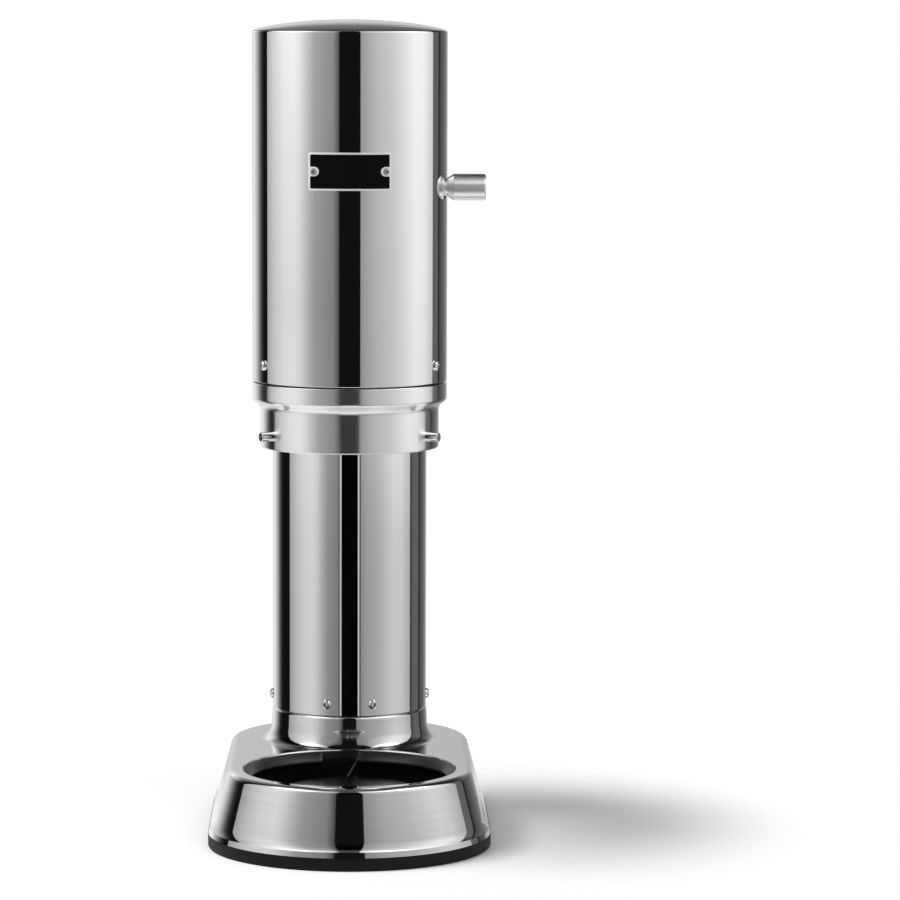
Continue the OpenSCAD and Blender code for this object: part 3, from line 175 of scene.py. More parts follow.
# Lever and its boss
LEVER_STEPS = 2 * SMALL_STEPS
LEVER_Y = (lever_low.y + lever_high.y) / 2
LEVER_Z = (lever_low.z + lever_high.z) / 2
KNOB_R = (lever_high.z - lever_low.z) / 2
KNOB_END = lever_high.x
KNOB_LENGTH = 17 * MM
KNOB_START = KNOB_END - KNOB_LENGTH
CONE_LENGTH = 3.6 * MM
CONE_START = KNOB_START - CONE_LENGTH
LEVER_NECK_R = 4.7 * MM
LEVER_INNER = 46 * MM
BOSS_R = (boss_high.y - boss_low.y) / 2
BOSS_BORE = 5.9 * MM
BOSS_INNER = boss_low.x
BOSS_CUT = 0.9 * MM
BOSS_REACH = boss_high.x - BOSS_CUT
HOLE_ROOM = 2.5 * MM

# Nameplate
PLATE_Z = (plate_low.z + plate_high.z) / 2
PLATE_WIDTH = plate_high.x - plate_low.x
PLATE_HEIGHT = plate_high.z - plate_low.z
PLATE_THICKNESS = 1 * MM
PLATE_SINK = 0.3 * MM
PLATE_BORDER = 1 * MM
PLATE_CORNER = 1.2 * MM
PLATE_STRIP = 1 * MM
PLATE_EDGE = 0.12 * MM
BEVEL_STEPS = 2
BEVEL_PROFILE = 0.5
PLATE_SCREW_SIDE = 18.6 * MM
PLATE_TAB = 2.5 * MM

# Screws; flat, socket and its depth are shares of the head's radius and height
SCREW_R = 2.75 * MM
SCREW_HEIGHT = 1.65 * MM
SMALL_SCREW_R = 1.7 * MM
SMALL_SCREW_HEIGHT = 1 * MM
HEAD_SCREW_Z = (head_screw_low.z + head_screw_high.z) / 2
HEAD_SCREW_TURNS = (209, 331)
COLUMN_SCREW_Z = (column_screw_low.z + column_screw_high.z) / 2
COLUMN_SCREW_TURNS = (180, 252.6, 287.4, 360)
SCREW_SINK = 0.15 * MM
SOCKET_PART = 0.44
SOCKET_DEPTH = 0.85
HEAD_FLAT = 0.62
HEX_TURN = math.radians(60)

# Camera, as fitted to the photograph
CAMERA_PLACE = (0.0001, -2.3015, 0.4385)
CAMERA_PITCH = 5.681
CAMERA_YAW = 1.351
CAMERA_ROLL = 0.17
CAMERA_LENS = 168.5
CAMERA_FAR = 50

# Studio: two curved soft panels near the object and a far wall all round
# Each lists its light by degrees from the front, and its levels list a factor by height
PANEL_R = 0.5
PANEL_TOP = 1.3
PANEL_LOW = -0.2
FAR_R = 3.0
FAR_LOW = -2.0
FAR_TOP = 4.0
LEFT_PANEL = (
    (-104, 0.50), (-90, 0.76), (-75, 0.95), (-60, 1.00), (-52, 0.86), (-44, 0.62),
    (-36, 0.43), (-24, 0.34), (-17, 0.30), (-13.5, 0.18), (-10.5, 0.08),
)
RIGHT_PANEL = (
    (10.5, 0.34), (27, 0.54), (45, 0.66), (60, 0.84), (73, 1.00), (86, 0.98),
    (95, 0.84), (105, 0.68),
)
FAR_WALL = (
    (-180, 0.56), (-168, 0.70), (-157, 0.92), (-150.5, 0.78), (-144.5, 0.66), (-140.5, 0.50),
    (-136.5, 0.35), (-132.5, 0.19), (-129.5, 0.11), (-126.5, 0.04), (-121, 0.008), (-116, 0.006),
    (100, 0.006), (112, 0.13), (126.4, 0.13), (127.4, 0.012), (129.4, 0.012), (130.4, 0.06),
    (147, 0.15), (157, 0.26), (163, 0.44), (172, 0.48), (180, 0.56),
)
HIGH_LEVELS = (
    (0.50, 1.15), (0.57, 1.40), (0.62, 2.80), (0.68, 2.60), (0.78, 2.00), (0.95, 1.40), (1.3, 0.60),
)
LEFT_LEVELS = (
    (0.03, 0.73), (0.10, 0.76), (0.19, 0.88), (0.27, 0.84), (0.34, 0.92), (0.40, 1.00), *HIGH_LEVELS,
)
RIGHT_LEVELS = (
    (0.03, 0.67), (0.10, 0.70), (0.19, 0.92), (0.27, 0.97), (0.40, 1.04), *HIGH_LEVELS,
)
FAR_LEVELS = ((0.60, 1.0), (0.97, 1.2), (1.65, 0.33), (3.0, 0.16))
CEILING_LIGHT = 0.07
FLOOR_R = 0.5
FLOOR_SHIFT = 0.02
FLOOR_SOLID = 0.12
FLOOR_FADE = 0.24
FLOOR_GREY = 0.86
FLOOR_ROUGHNESS = 0.7
FLOOR_SHINE = 0.1
WORLD_LIGHT = 0.42
LAMP_AIM = (0, 0, 0.15)
LAMPS = {
    "key_lamp": dict(place=(-1.0, -0.15, 1.8), size=1.1, power=36),
    "fill_lamp": dict(place=(0.8, -1.8, 1.6), size=1.4, power=10),
}

# Finishes: stretch of smudges and grain along X, Y and Z, and what all metals or coatings share
EVEN = (1, 1, 1)
STREAKS = (0.6, 0.6, 14)
FINE = 5000
LEVEL_GRAIN = (40, 40, FINE)
ACROSS_GRAIN = (FINE, 60, 60)
FLAT_GRAIN = (60, FINE, 60)
CAST_GRAIN = (700, 700, 700)
NOISE_LOW = 0.25
NOISE_HIGH = 0.75
SMUDGE_SCALE = 28
SMUDGE_DETAIL = 4
SMUDGE_FADE = 0.96
GRAIN_SCALE = 1
GRAIN_DETAIL = 3
GRAIN_DEPTH = 0.02 * MM
LATHE_STRETCH = 0.95
LATHE_TURN = 0.25
PATCH_SCALE = 40
PATCH_DETAIL = 3
PATCH_FADE = 0.8
COAT_SHINE = 0.5
COAT_DETAIL = 2
COAT_DEPTH = 0.05 * MM


def arc(centre, radius, start, end, steps=ARC_STEPS):
    """Points of an arc about a centre, between two angles in degrees."""
    turns = [math.radians(start + (end - start) * i / steps) for i in range(steps + 1)]
    return [(centre[0] + radius * math.cos(t), centre[1] + radius * math.sin(t)) for t in turns]


def corner(before, at, after, radius):
    """Points of a round corner of the given radius between two straight lines."""
    at = Vector(at)
    one = (Vector(before) - at).normalized()
    two = (Vector(after) - at).normalized()
    half = one.angle(two) / 2
    middle = at + (one + two).normalized() * (radius / math.sin(half))
    start = at + one * (radius / math.tan(half)) - middle
    end = at + two * (radius / math.tan(half)) - middle
    turn = start.angle_signed(end)
    steps = [i / CORNER_STEPS for i in range(CORNER_STEPS + 1)]
    return [tuple(middle + Matrix.Rotation(-turn * s, 2) @ start) for s in steps]


def rounded(points):
    """Closed profile of (radius, height, rounding) corners, as plain points."""
    made = []
    for i, (x, z, radius) in enumerate(points):
        if radius:
            before = points[i - 1][:2]
            after = points[(i + 1) % len(points)][:2]
            made += corner(before, (x, z), after, radius)
        else:
            made.append((x, z))
    return made


def skin(bm, rows, joined=True):
    """Faces between closed rows of points; the last row joins the first, or both get a cap."""
    grid = [[bm.verts.new(point) for point in row] for row in rows]
    count = len(grid[0])
    for i in range(len(grid) if joined else len(grid) - 1):
        one = grid[i]
        two = grid[(i + 1) % len(grid)]
        for j in range(count):
            k = (j + 1) % count
            bm.faces.new((one[j], two[j], two[k], one[k]))
    if not joined:
        bm.faces.new(grid[0])
        bm.faces.new(reversed(grid[-1]))


def row_at(profile, centre_y, turn):
    """Points of a profile of (radius, height) at one direction about an upright axis."""
    across = math.cos(turn)
    along = math.sin(turn)
    return [(r * across, centre_y + r * along, z) for r, z in profile]


def turned(bm, profile, centre_y=0, steps=ROUND_STEPS):
    """Turned solid about an upright axis."""
    skin(bm, [row_at(profile, centre_y, math.tau * i / steps) for i in range(steps)])


def stadium(bm, profile):
    """Solid with round ends about both upright axes."""
    half = ROUND_STEPS // 2
    turns = [math.pi * i / half for i in range(half + 1)]
    rows = [row_at(profile, COLUMN_Y, turn) for turn in turns]
    rows += [row_at(profile, TRAY_Y, math.pi + turn) for turn in turns]
    skin(bm, rows)


def clean(bm):
    """Merges doubled points and turns all faces outwards."""
    bmesh.ops.remove_doubles(bm, verts=bm.verts, dist=MERGE)
    bmesh.ops.dissolve_degenerate(bm, dist=MERGE, edges=bm.edges)
    bmesh.ops.recalc_face_normals(bm, faces=bm.faces)


def loose_object(name, bm):
    """New object from a mesh in the making."""
    clean(bm)
    mesh = bpy.data.meshes.new(name)
    bm.to_mesh(mesh)
    bm.free()
    obj = bpy.data.objects.new(name, mesh)
    bpy.context.scene.collection.objects.link(obj)
    return obj


def combined(bm, other, operation):
    """Result of a boolean between two meshes in the making."""
    one = loose_object("one", bm)
    two = loose_object("two", other)
    step = one.modifiers.new("step", "BOOLEAN")
    step.operation = operation
    step.solver = "EXACT"
    step.object = two
    graph = bpy.context.evaluated_depsgraph_get()
    result = bmesh.new()
    result.from_object(one, graph)
    for obj in (one, two):
        mesh = obj.data
        bpy.data.objects.remove(obj)
        bpy.data.meshes.remove(mesh)
    return result


def piece(name, bm, body, slot, *nodes, finish=None):
    """Finished piece of the object, standing for CAD nodes, with even normals."""
    clean(bm)
    for face in bm.faces:
        face.smooth = True
    for edge in bm.edges:
        edge.smooth = len(edge.link_faces) == 2 and edge.calc_face_angle(0) < SHARP
    obj = loose_object(name, bm)
    normals = obj.modifiers.new("Even normals", "WEIGHTED_NORMAL")
    normals.keep_sharp = True
    obj.data.materials.append(finish_of(finish or slot))
    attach(obj, body)
    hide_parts(*nodes)
    return obj


def upright(profile, centre_y=0, steps=ROUND_STEPS):
    """Turned cutter or filler about an upright axis."""
    bm = bmesh.new()
    turned(bm, profile, centre_y, steps)
    return bm


def plug(radius, bottom, top, centre_y=0, steps=ROUND_STEPS):
    """Plain round cutter about an upright axis."""
    return upright([(0, bottom), (radius, bottom), (radius, top), (0, top)], centre_y, steps)


def along_x(y, z):
    """Placement that lays an upright turned piece along X."""
    return Matrix.Translation((0, y, z)) @ Matrix.Rotation(math.pi / 2, 4, "Y")


def skirt_at(z):
    """Radius of the skirt's straight face at a height."""
    return SKIRT_TOP_R + (BASE_TOP - z) * math.tan(math.radians(SKIRT_TILT))


def base_profile():
    """Section of the base's skirt and flat top."""
    tilt = math.radians(SKIRT_TILT)
    shoulder_z = BASE_TOP - SHOULDER_R
    shoulder_x = skirt_at(shoulder_z + SHOULDER_R * math.sin(tilt)) - SHOULDER_R * math.cos(tilt)
    shoulder = (shoulder_x, shoulder_z)
    flare_x = skirt_at(FLARE_TOP) + FLARE_R * math.cos(tilt)
    flare = (flare_x, FLARE_TOP + FLARE_R * math.sin(tilt))
    lip = arc(flare, FLARE_R, 180 + SKIRT_TILT, 180 + SKIRT_TILT + FLARE_SWEEP)
    inner_foot = skirt_at(FOOT_TOP) - BASE_WALL / math.cos(tilt)
    foot = (lip[-1][0] + (lip[-1][1] - FOOT_TOP) * math.tan(tilt), FOOT_TOP)
    return (
        [(0, BASE_TOP)]
        + arc(shoulder, SHOULDER_R, 90, SKIRT_TILT)
        + lip[:-1]
        + corner(lip[-2], lip[-1], foot, LIP_ROUND)
        + [foot, (inner_foot, FOOT_TOP)]
        + arc(shoulder, SHOULDER_R - BASE_WALL, SKIRT_TILT, 90)
        + [(0, BASE_TOP - BASE_WALL)]
    )


def neck_at(z):
    """Radius of the neck's leaning wall at a height."""
    return NECK_R + (NECK_TOP - z) * math.tan(NECK_LEAN)


def room_at(turn):
    """Flat width between the neck and the opening's rim, in one direction from the column's axis."""
    reach = OPENING_R + RIM_ROUND
    apart = COLUMN_Y - TRAY_Y
    along = -apart * math.sin(turn)
    square = along * along - apart * apart + reach * reach
    if along < 0 or square < 0:
        return apart
    return max(0, along - math.sqrt(square) - neck_at(BASE_TOP))


def neck_row(turn):
    """Section of the neck, whose fillet gets steep where the opening is near."""
    room = room_at(turn)
    wide = NECK_FILLET * room / math.hypot(room, NECK_FILLET)
    flare = math.hypot(wide, NECK_FLARE)
    foot = BASE_TOP - 2 * RIM_ROUND
    profile = [(0, foot), (neck_at(BASE_TOP) + flare, foot)]
    for i in range(FILLET_STEPS + 1):
        lean = math.pi / 2 * i / FILLET_STEPS
        z = BASE_TOP - FILLET_DIP + NECK_RISE * (1 - math.cos(lean))
        profile.append((neck_at(z) + flare * (1 - math.sin(lean)), z))
    profile += corner(profile[-1], (NECK_R, NECK_TOP), (0, NECK_TOP), NECK_EDGE)
    return row_at(profile + [(0, NECK_TOP)], COLUMN_Y, turn)


def base_shell():
    """Shell with a rolled rim round the opening, and the neck that carries the column."""
    high = 2 * NECK_TOP
    shell = bmesh.new()
    stadium(shell, base_profile())
    inner = OPENING_R - RIM_WALL
    outer = OPENING_R + RIM_WALL
    foot = bayonet_low.z
    top = BASE_TOP - BASE_WALL / 2
    flange = [(inner, foot), (outer, foot), (outer, top), (inner, top)]
    shell = combined(shell, upright(flange, TRAY_Y), "UNION")
    rolled = (OPENING_R + RIM_ROUND, BASE_TOP - RIM_ROUND)
    mouth = [(0, 0), (OPENING_R, 0)] + arc(rolled, RIM_ROUND, 180, 90)
    mouth += [(rolled[0], high), (0, high)]
    shell = combined(shell, upright(mouth, TRAY_Y), "DIFFERENCE")
    neck = bmesh.new()
    skin(neck, [neck_row(math.tau * i / ROUND_STEPS) for i in range(ROUND_STEPS)])
    shell = combined(shell, neck, "UNION")
    shell = combined(shell, plug(COLUMN_BORE, 0, high, COLUMN_Y), "DIFFERENCE")
    shell = combined(shell, plug(OPENING_R, 0, high, TRAY_Y), "DIFFERENCE")
    piece("base_shell_skin", shell, "frame", "polished_steel", "base_shell", finish="drawn_steel")


def foot_ring():
    """Rubber ring with a flat tread, stepped inside for the base plate."""
    bm = bmesh.new()
    stadium(bm, rounded([
        (FOOT_R - FOOT_TREAD, foot_low.z, EDGE_ROUND),
        (FOOT_R, foot_low.z, FOOT_ROUND),
        (FOOT_R, FOOT_TOP, EDGE_ROUND),
        (FOOT_R - BASE_PLATE_INSET, FOOT_TOP, 0),
        (FOOT_R - BASE_PLATE_INSET, BASE_PLATE_BOTTOM, 0),
        (FOOT_R - FOOT_TREAD, BASE_PLATE_BOTTOM, 0),
    ]))
    piece("foot_ring_tread", bm, "frame", "black_rubber", "foot_ring")


def column_row(outer, inner):
    """Section of the column's wall, from its outer and inner (turn, radius) places."""
    row = []
    for z, places in ((column_low.z, (inner, outer)), (column_high.z, (outer, inner))):
        for turn, radius in places:
            row += row_at([(radius, z)], COLUMN_Y, turn - math.pi / 2)
    return row


def fold_place(radius, lean):
    """Place on a folded slot edge of a bend radius, as (turn, radius) from the slot's middle."""
    side = SLOT_HALF + FOLD_R - radius * math.sin(lean)
    return side / COLUMN_R, COLUMN_R - FOLD_R + radius * math.cos(lean)


def column_tube():
    """Tube with a slot whose edges fold inwards."""
    leans = [math.pi / 2 * (1 - i / ARC_STEPS) for i in range(ARC_STEPS)]
    rows = [(fold_place(FOLD_R, lean), fold_place(FOLD_R - SHEET_WALL, lean)) for lean in leans]
    start = (SLOT_HALF + FOLD_R) / COLUMN_R
    half = ROUND_STEPS // 2
    for i in range(half + 1):
        turn = start + (math.pi - start) * i / half
        rows.append(((turn, COLUMN_R), (turn, COLUMN_BORE)))
    right = [column_row(outer, inner) for outer, inner in rows]
    left = [
        column_row((-outer[0], outer[1]), (-inner[0], inner[1]))
        for outer, inner in reversed(rows[:-1])
    ]
    bm = bmesh.new()
    skin(bm, right + left, joined=False)
    piece("column_tube_skin", bm, "frame", "polished_steel", "column_tube")


def head_shell():
    """Tall shell with a hole for the lever's boss; two rows keep the hole's marks short."""
    rows = [LEVER_Z - BOSS_R - HOLE_ROOM, LEVER_Z + BOSS_R + HOLE_ROOM]
    profile = rounded(
        [(HEAD_R, HEAD_BOTTOM, EDGE_ROUND)]
        + [(HEAD_R, z, 0) for z in rows]
        + [(HEAD_R, HEAD_TOP, HEAD_EDGE), (HEAD_BORE, HEAD_TOP, 0)]
        + [(HEAD_BORE, z, 0) for z in reversed(rows)]
        + [(HEAD_BORE, HEAD_BOTTOM, 0)]
    )
    shell = bmesh.new()
    stadium(shell, profile)
    hole = plug(BOSS_R, COLUMN_R, 2 * HEAD_R, steps=SMALL_STEPS)
    hole.transform(along_x(LEVER_Y, LEVER_Z))
    shell = combined(shell, hole, "DIFFERENCE")
    piece("head_shell_skin", shell, "frame", "polished_steel", "head_shell")


def crown(radius, height):
    """Points of the lid's crown from its edge to its middle."""
    points = []
    for i in range(CROWN_STEPS + 1):
        part = math.cos(math.pi / 2 * i / CROWN_STEPS)
        points.append((radius * part, HEAD_TOP + height * max(0, 1 - part * part) ** CROWN_POWER))
    return points


def lid():
    """Hollow lid with a low crown, its wall inside the head's bore."""
    inner = HEAD_BORE - LID_WALL
    under = crown(inner, CROWN_HEIGHT - LID_WALL)
    bm = bmesh.new()
    stadium(bm, (
        [(HEAD_BORE, HEAD_TOP)]
        + crown(LID_R, CROWN_HEIGHT)
        + list(reversed(under))
        + [(inner, lid_low.z), (HEAD_BORE, lid_low.z)]
    ))
    piece("lid_skin", bm, "frame", "polished_steel", "lid")


def collar():
    """Grip ring with a round lower edge over a hollow neck, and a recess for its retainer."""
    step = COLLAR_TOP - GRIP_HEIGHT
    turn = math.radians(GRIP_TURN)
    rounding = (HEAD_R - GRIP_ROUND, step)
    slope_x = rounding[0] + GRIP_ROUND * math.cos(turn)
    slope_z = rounding[1] - GRIP_ROUND * math.sin(turn)
    hollow_x = COLLAR_R + GRIP_HOLLOW
    run = (slope_x - hollow_x + GRIP_HOLLOW * math.cos(turn)) / math.sin(turn)
    hollow_z = slope_z - run * math.cos(turn) - GRIP_HOLLOW * math.sin(turn)
    recess = COLLAR_BOTTOM + RETAINER_DEPTH
    profile = (
        [(COLLAR_BORE, COLLAR_TOP)]
        + corner((0, COLLAR_TOP), (HEAD_R, COLLAR_TOP), (HEAD_R, step), EDGE_ROUND)
        + arc(rounding, GRIP_ROUND, 0, -GRIP_TURN)
        + arc((hollow_x, hollow_z), GRIP_HOLLOW, 180 - GRIP_TURN, 180)
        + corner((COLLAR_R, step), (COLLAR_R, COLLAR_BOTTOM), (0, COLLAR_BOTTOM), COLLAR_ROUND)
        + [(RETAINER_R, COLLAR_BOTTOM), (RETAINER_R, recess), (COLLAR_BORE, recess)]
    )
    bm = bmesh.new()
    turned(bm, profile, TRAY_Y)
    piece("collar_skin", bm, "collar", "turned_steel", "collar")


def ramps():
    """Slanting ribs on the tray's wall that carry on the ring's notches, in a lighter grey than the tray's
    black plastic: painted light for their lit edges.
    """
    bm = bmesh.new()
    places = [i / ARC_STEPS for i in range(ARC_STEPS + 1)]
    for i in range(RAMP_COUNT):
        turn = math.tau * i / RAMP_COUNT
        rows = []
        for part in places:
            z = bayonet_low.z - RAMP_DROP * part
            left = RAMP_SIDE - RAMP_LEAN * part
            right = left + RAMP_WIDTH
            row = []
            for x, r in ((left, RAMP_R), (right, RAMP_R), (right, TRAY_WALL_R), (left, TRAY_WALL_R)):
                row += row_at([(r, z)], TRAY_Y, turn + math.pi / 2 - math.asin(x / r))
            rows.append(row)
        skin(bm, rows, joined=False)
    piece("drip_tray_ramps", bm, "frame", "black_plastic", "drip_tray", finish="painted_lit_ramp_plastic")


def drip_tray():
    """Bowl with a ring on its floor that the rest plate sits on."""
    under = TRAY_FLOOR - TRAY_WALL
    seat_bore = SEAT_R - SEAT_WALL
    bm = bmesh.new()
    turned(bm, rounded([
        (0, under, 0),
        (TRAY_WALL_R, under, 0),
        (TRAY_WALL_R, tray_low.z, 0),
        (OPENING_R, tray_low.z, 0),
        (OPENING_R, tray_high.z, 0),
        (TRAY_WALL_R, tray_high.z, EDGE_ROUND),
        (TRAY_WALL_R, TRAY_FLOOR, SHOULDER_R),
        (SEAT_R, TRAY_FLOOR, 2 * EDGE_ROUND),
        (SEAT_R, SEAT_TOP, EDGE_ROUND),
        (seat_bore, SEAT_TOP, EDGE_ROUND),
        (seat_bore, TRAY_FLOOR, 0),
        (0, TRAY_FLOOR, 0),
    ]), TRAY_Y)
    piece("drip_tray_bowl", bm, "frame", "black_plastic", "drip_tray", finish="matt_black")


def rest_plate():
    """Disc with a short spigot that drops into the tray's seat."""
    edge = rest_high.x
    spigot_bore = SPIGOT_R - SPIGOT_WALL
    bm = bmesh.new()
    turned(bm, rounded([
        (0, SEAT_TOP, 0),
        (spigot_bore, SEAT_TOP, 0),
        (spigot_bore, rest_low.z, 0),
        (SPIGOT_R, rest_low.z, EDGE_ROUND),
        (SPIGOT_R, SEAT_TOP, 0),
        (edge, SEAT_TOP, EDGE_ROUND),
        (edge, rest_high.z, EDGE_ROUND),
        (0, rest_high.z, 0),
    ]), TRAY_Y)
    piece("rest_plate_disc", bm, "rest_plate", "brushed_steel", "rest_plate", finish="bright_steel")


def lever():
    """Neck, cone and knob in one piece, hidden from glossy rays so that the head doesn't mirror it."""
    bm = bmesh.new()
    turned(bm, rounded([
        (0, LEVER_INNER, 0),
        (LEVER_NECK_R, LEVER_INNER, 0),
        (LEVER_NECK_R, CONE_START, EDGE_ROUND),
        (KNOB_R, KNOB_START, EDGE_ROUND),
        (KNOB_R, KNOB_END, 2 * EDGE_ROUND),
        (0, KNOB_END, 0),
    ]), steps=LEVER_STEPS)
    bm.transform(along_x(LEVER_Y, LEVER_Z))
    knob = piece("lever_knob", bm, "lever", "brushed_steel", "lever")
    knob.visible_glossy = False


def lever_boss():
    """Ring in the head's wall that the lever's neck comes out of."""
    bm = bmesh.new()
    turned(bm, rounded([
        (BOSS_BORE, BOSS_INNER, 0),
        (BOSS_R, BOSS_INNER, 0),
        (BOSS_R, BOSS_REACH, EDGE_ROUND),
        (BOSS_BORE, BOSS_REACH, EDGE_ROUND / 2),
    ]), steps=LEVER_STEPS)
    bm.transform(along_x(LEVER_Y, LEVER_Z))
    piece("lever_boss_ring", bm, "frame", "brushed_steel", "lever_boss")


def hexagon(apothem, turn):
    """Distance from the middle of a hexagon to its side in one direction."""
    return apothem / math.cos((turn + HEX_TURN / 2) % HEX_TURN - HEX_TURN / 2)


def socket_row(apothem, height, steps):
    """Row of a hexagonal socket."""
    turns = [math.tau * i / steps for i in range(steps)]
    sides = [hexagon(apothem, turn) for turn in turns]
    return [(r * math.cos(t), r * math.sin(t), height) for r, t in zip(sides, turns)]


def round_row(radius, height, steps):
    """Row of a turned shape."""
    turns = [math.tau * i / steps for i in range(steps)]
    return [(radius * math.cos(t), radius * math.sin(t), height) for t in turns]


def socket_stack(bm, profile, apothem, depth, placement, steps=SMALL_STEPS):
    """Turned shape with a hexagonal socket in its outer end, put in place."""
    top = profile[-1][1]
    rows = [round_row(0, profile[0][1], steps)]
    rows += [round_row(r, z, steps) for r, z in profile]
    rows += [socket_row(apothem, top, steps), socket_row(apothem, top - depth, steps)]
    rows.append(round_row(0, top - depth, steps))
    made = bmesh.new()
    skin(made, rows)
    made.transform(placement)
    mesh = bpy.data.meshes.new("stack")
    made.to_mesh(mesh)
    made.free()
    bm.from_mesh(mesh)
    bpy.data.meshes.remove(mesh)


def outward(centre_y, z, turn):
    """Placement of an upright shape that lays it along a radius about an upright axis."""
    place = Matrix.Translation((0, centre_y, z))
    return place @ Matrix.Rotation(math.radians(turn), 4, "Z") @ Matrix.Rotation(math.pi / 2, 4, "Y")


def screw_heads(bm, radius, height, at, places):
    """Button heads with hexagonal sockets on a round face."""
    end = math.acos(HEAD_FLAT)
    dome = [end * i / ARC_STEPS for i in range(ARC_STEPS + 1)]
    profile = [(radius, at - SCREW_SINK)]
    profile += [(radius * math.cos(t), at + height * math.sin(t) / math.sin(end)) for t in dome]
    for placement in places:
        socket_stack(bm, profile, radius * SOCKET_PART, height * SOCKET_DEPTH, placement)


def column_screws():
    """Screws round the column, just above the neck."""
    bm = bmesh.new()
    places = [outward(COLUMN_Y, COLUMN_SCREW_Z, turn) for turn in COLUMN_SCREW_TURNS]
    screw_heads(bm, SCREW_R, SCREW_HEIGHT, COLUMN_R, places)
    piece("column_screw_heads", bm, "frame", "screw_steel", "column_screws")


def head_screws():
    """Screws at both sides of the head's front."""
    bm = bmesh.new()
    places = [outward(TRAY_Y, HEAD_SCREW_Z, turn) for turn in HEAD_SCREW_TURNS]
    screw_heads(bm, SCREW_R, SCREW_HEIGHT, HEAD_R, places)
    piece("head_screw_heads", bm, "frame", "screw_steel", "head_screws")


def nameplate_screws():
    """Small duller screws on the nameplate's tabs."""
    bm = bmesh.new()
    turn = math.degrees(math.asin(PLATE_SCREW_SIDE / HEAD_R))
    places = [outward(TRAY_Y, PLATE_Z, side * turn - 90) for side in (-1, 1)]
    screw_heads(bm, SMALL_SCREW_R, SMALL_SCREW_HEIGHT, HEAD_R + PLATE_THICKNESS, places)
    piece("nameplate_screw_heads", bm, "frame", "screw_steel", "nameplate_screws", finish="cast_alloy")


def bayonet_pins():
    """Studs round the collar, with a socket in each end."""
    bm = bmesh.new()
    profile = [(PIN_R, PIN_ROOT), (PIN_R, PIN_TIP - EDGE_ROUND)]
    profile += arc((PIN_R - EDGE_ROUND, PIN_TIP - EDGE_ROUND), EDGE_ROUND, 0, 90)
    for turn in PIN_TURNS:
        socket_stack(bm, profile, PIN_R * SOCKET_PART, SCREW_HEIGHT, outward(TRAY_Y, PIN_Z, turn))
    piece("bayonet_pin_studs", bm, "collar", "bright_steel", "bayonet_pins")


def rectangle(width, height, radius):
    """Outline with round corners, about the origin."""
    x = width / 2
    z = height / 2
    return rounded([(x, -z, radius), (x, z, radius), (-x, z, radius), (-x, -z, radius)])


def field_outline():
    """Outline of the nameplate's sunk field, which leaves a tab at each screw."""
    x = PLATE_WIDTH / 2 - PLATE_BORDER
    z = PLATE_HEIGHT / 2 - PLATE_BORDER
    radius = PLATE_CORNER / 2
    right_tab = [(x, -PLATE_TAB)] + arc((PLATE_SCREW_SIDE, 0), PLATE_TAB, 270, 90) + [(x, PLATE_TAB)]
    left_tab = [(-a, -b) for a, b in right_tab]
    right = corner((-x, -z), (x, -z), (x, z), radius) + right_tab
    right += corner((x, -z), (x, z), (-x, z), radius)
    left = corner((x, z), (-x, z), (-x, -z), radius) + left_tab
    left += corner((-x, z), (-x, -z), (x, -z), radius)
    return right + left


def slab(bm, loops, low, high):
    """Flat solid between two depths, its first loop outside and the others holes."""
    for depth in (low, high):
        edges = []
        for loop in loops:
            verts = [bm.verts.new((x, depth, z)) for x, z in loop]
            edges += [bm.edges.new((verts[i - 1], verts[i])) for i in range(len(verts))]
        bmesh.ops.triangle_fill(bm, edges=edges, use_beauty=True)
    for loop in loops:
        for i, (x, z) in enumerate(loop):
            a, b = loop[i - 1]
            wall = ((a, low, b), (x, low, z), (x, high, z), (a, high, b))
            bm.faces.new([bm.verts.new(point) for point in wall])
    clean(bm)


def wrap(bm):
    """Bends a flat plate round the head's front, with its depth measured outwards."""
    half = PLATE_WIDTH / 2
    strips = round(PLATE_WIDTH / PLATE_STRIP)
    for i in range(1, strips):
        geometry = bm.verts[:] + bm.edges[:] + bm.faces[:]
        place = (PLATE_WIDTH * i / strips - half, 0, 0)
        bmesh.ops.bisect_plane(bm, geom=geometry, plane_co=place, plane_no=(1, 0, 0))
    for vert in bm.verts:
        x, depth, z = vert.co
        vert.co = (x, TRAY_Y - math.sqrt((HEAD_R + depth) ** 2 - x * x), PLATE_Z + z)


def nameplate():
    """Bright border with screw tabs round a bare sunk field."""
    border = bmesh.new()
    outline = rectangle(PLATE_WIDTH, PLATE_HEIGHT, PLATE_CORNER)
    slab(border, [outline, field_outline()], 0, PLATE_THICKNESS)
    rims = [
        edge for edge in border.edges
        if edge.calc_face_angle(0) > SHARP and all(v.co.y > PLATE_THICKNESS / 2 for v in edge.verts)
    ]
    bmesh.ops.bevel(
        border, geom=rims, offset=PLATE_EDGE, segments=BEVEL_STEPS, profile=BEVEL_PROFILE, affect="EDGES",
    )
    wrap(border)
    piece("nameplate_border", border, "frame", "plate_metal", "nameplate")
    field = bmesh.new()
    slab(field, [field_outline()], 0, PLATE_THICKNESS - PLATE_SINK)
    wrap(field)
    piece("nameplate_field", field, "frame", "black_plastic", "nameplate", finish="matt_black")


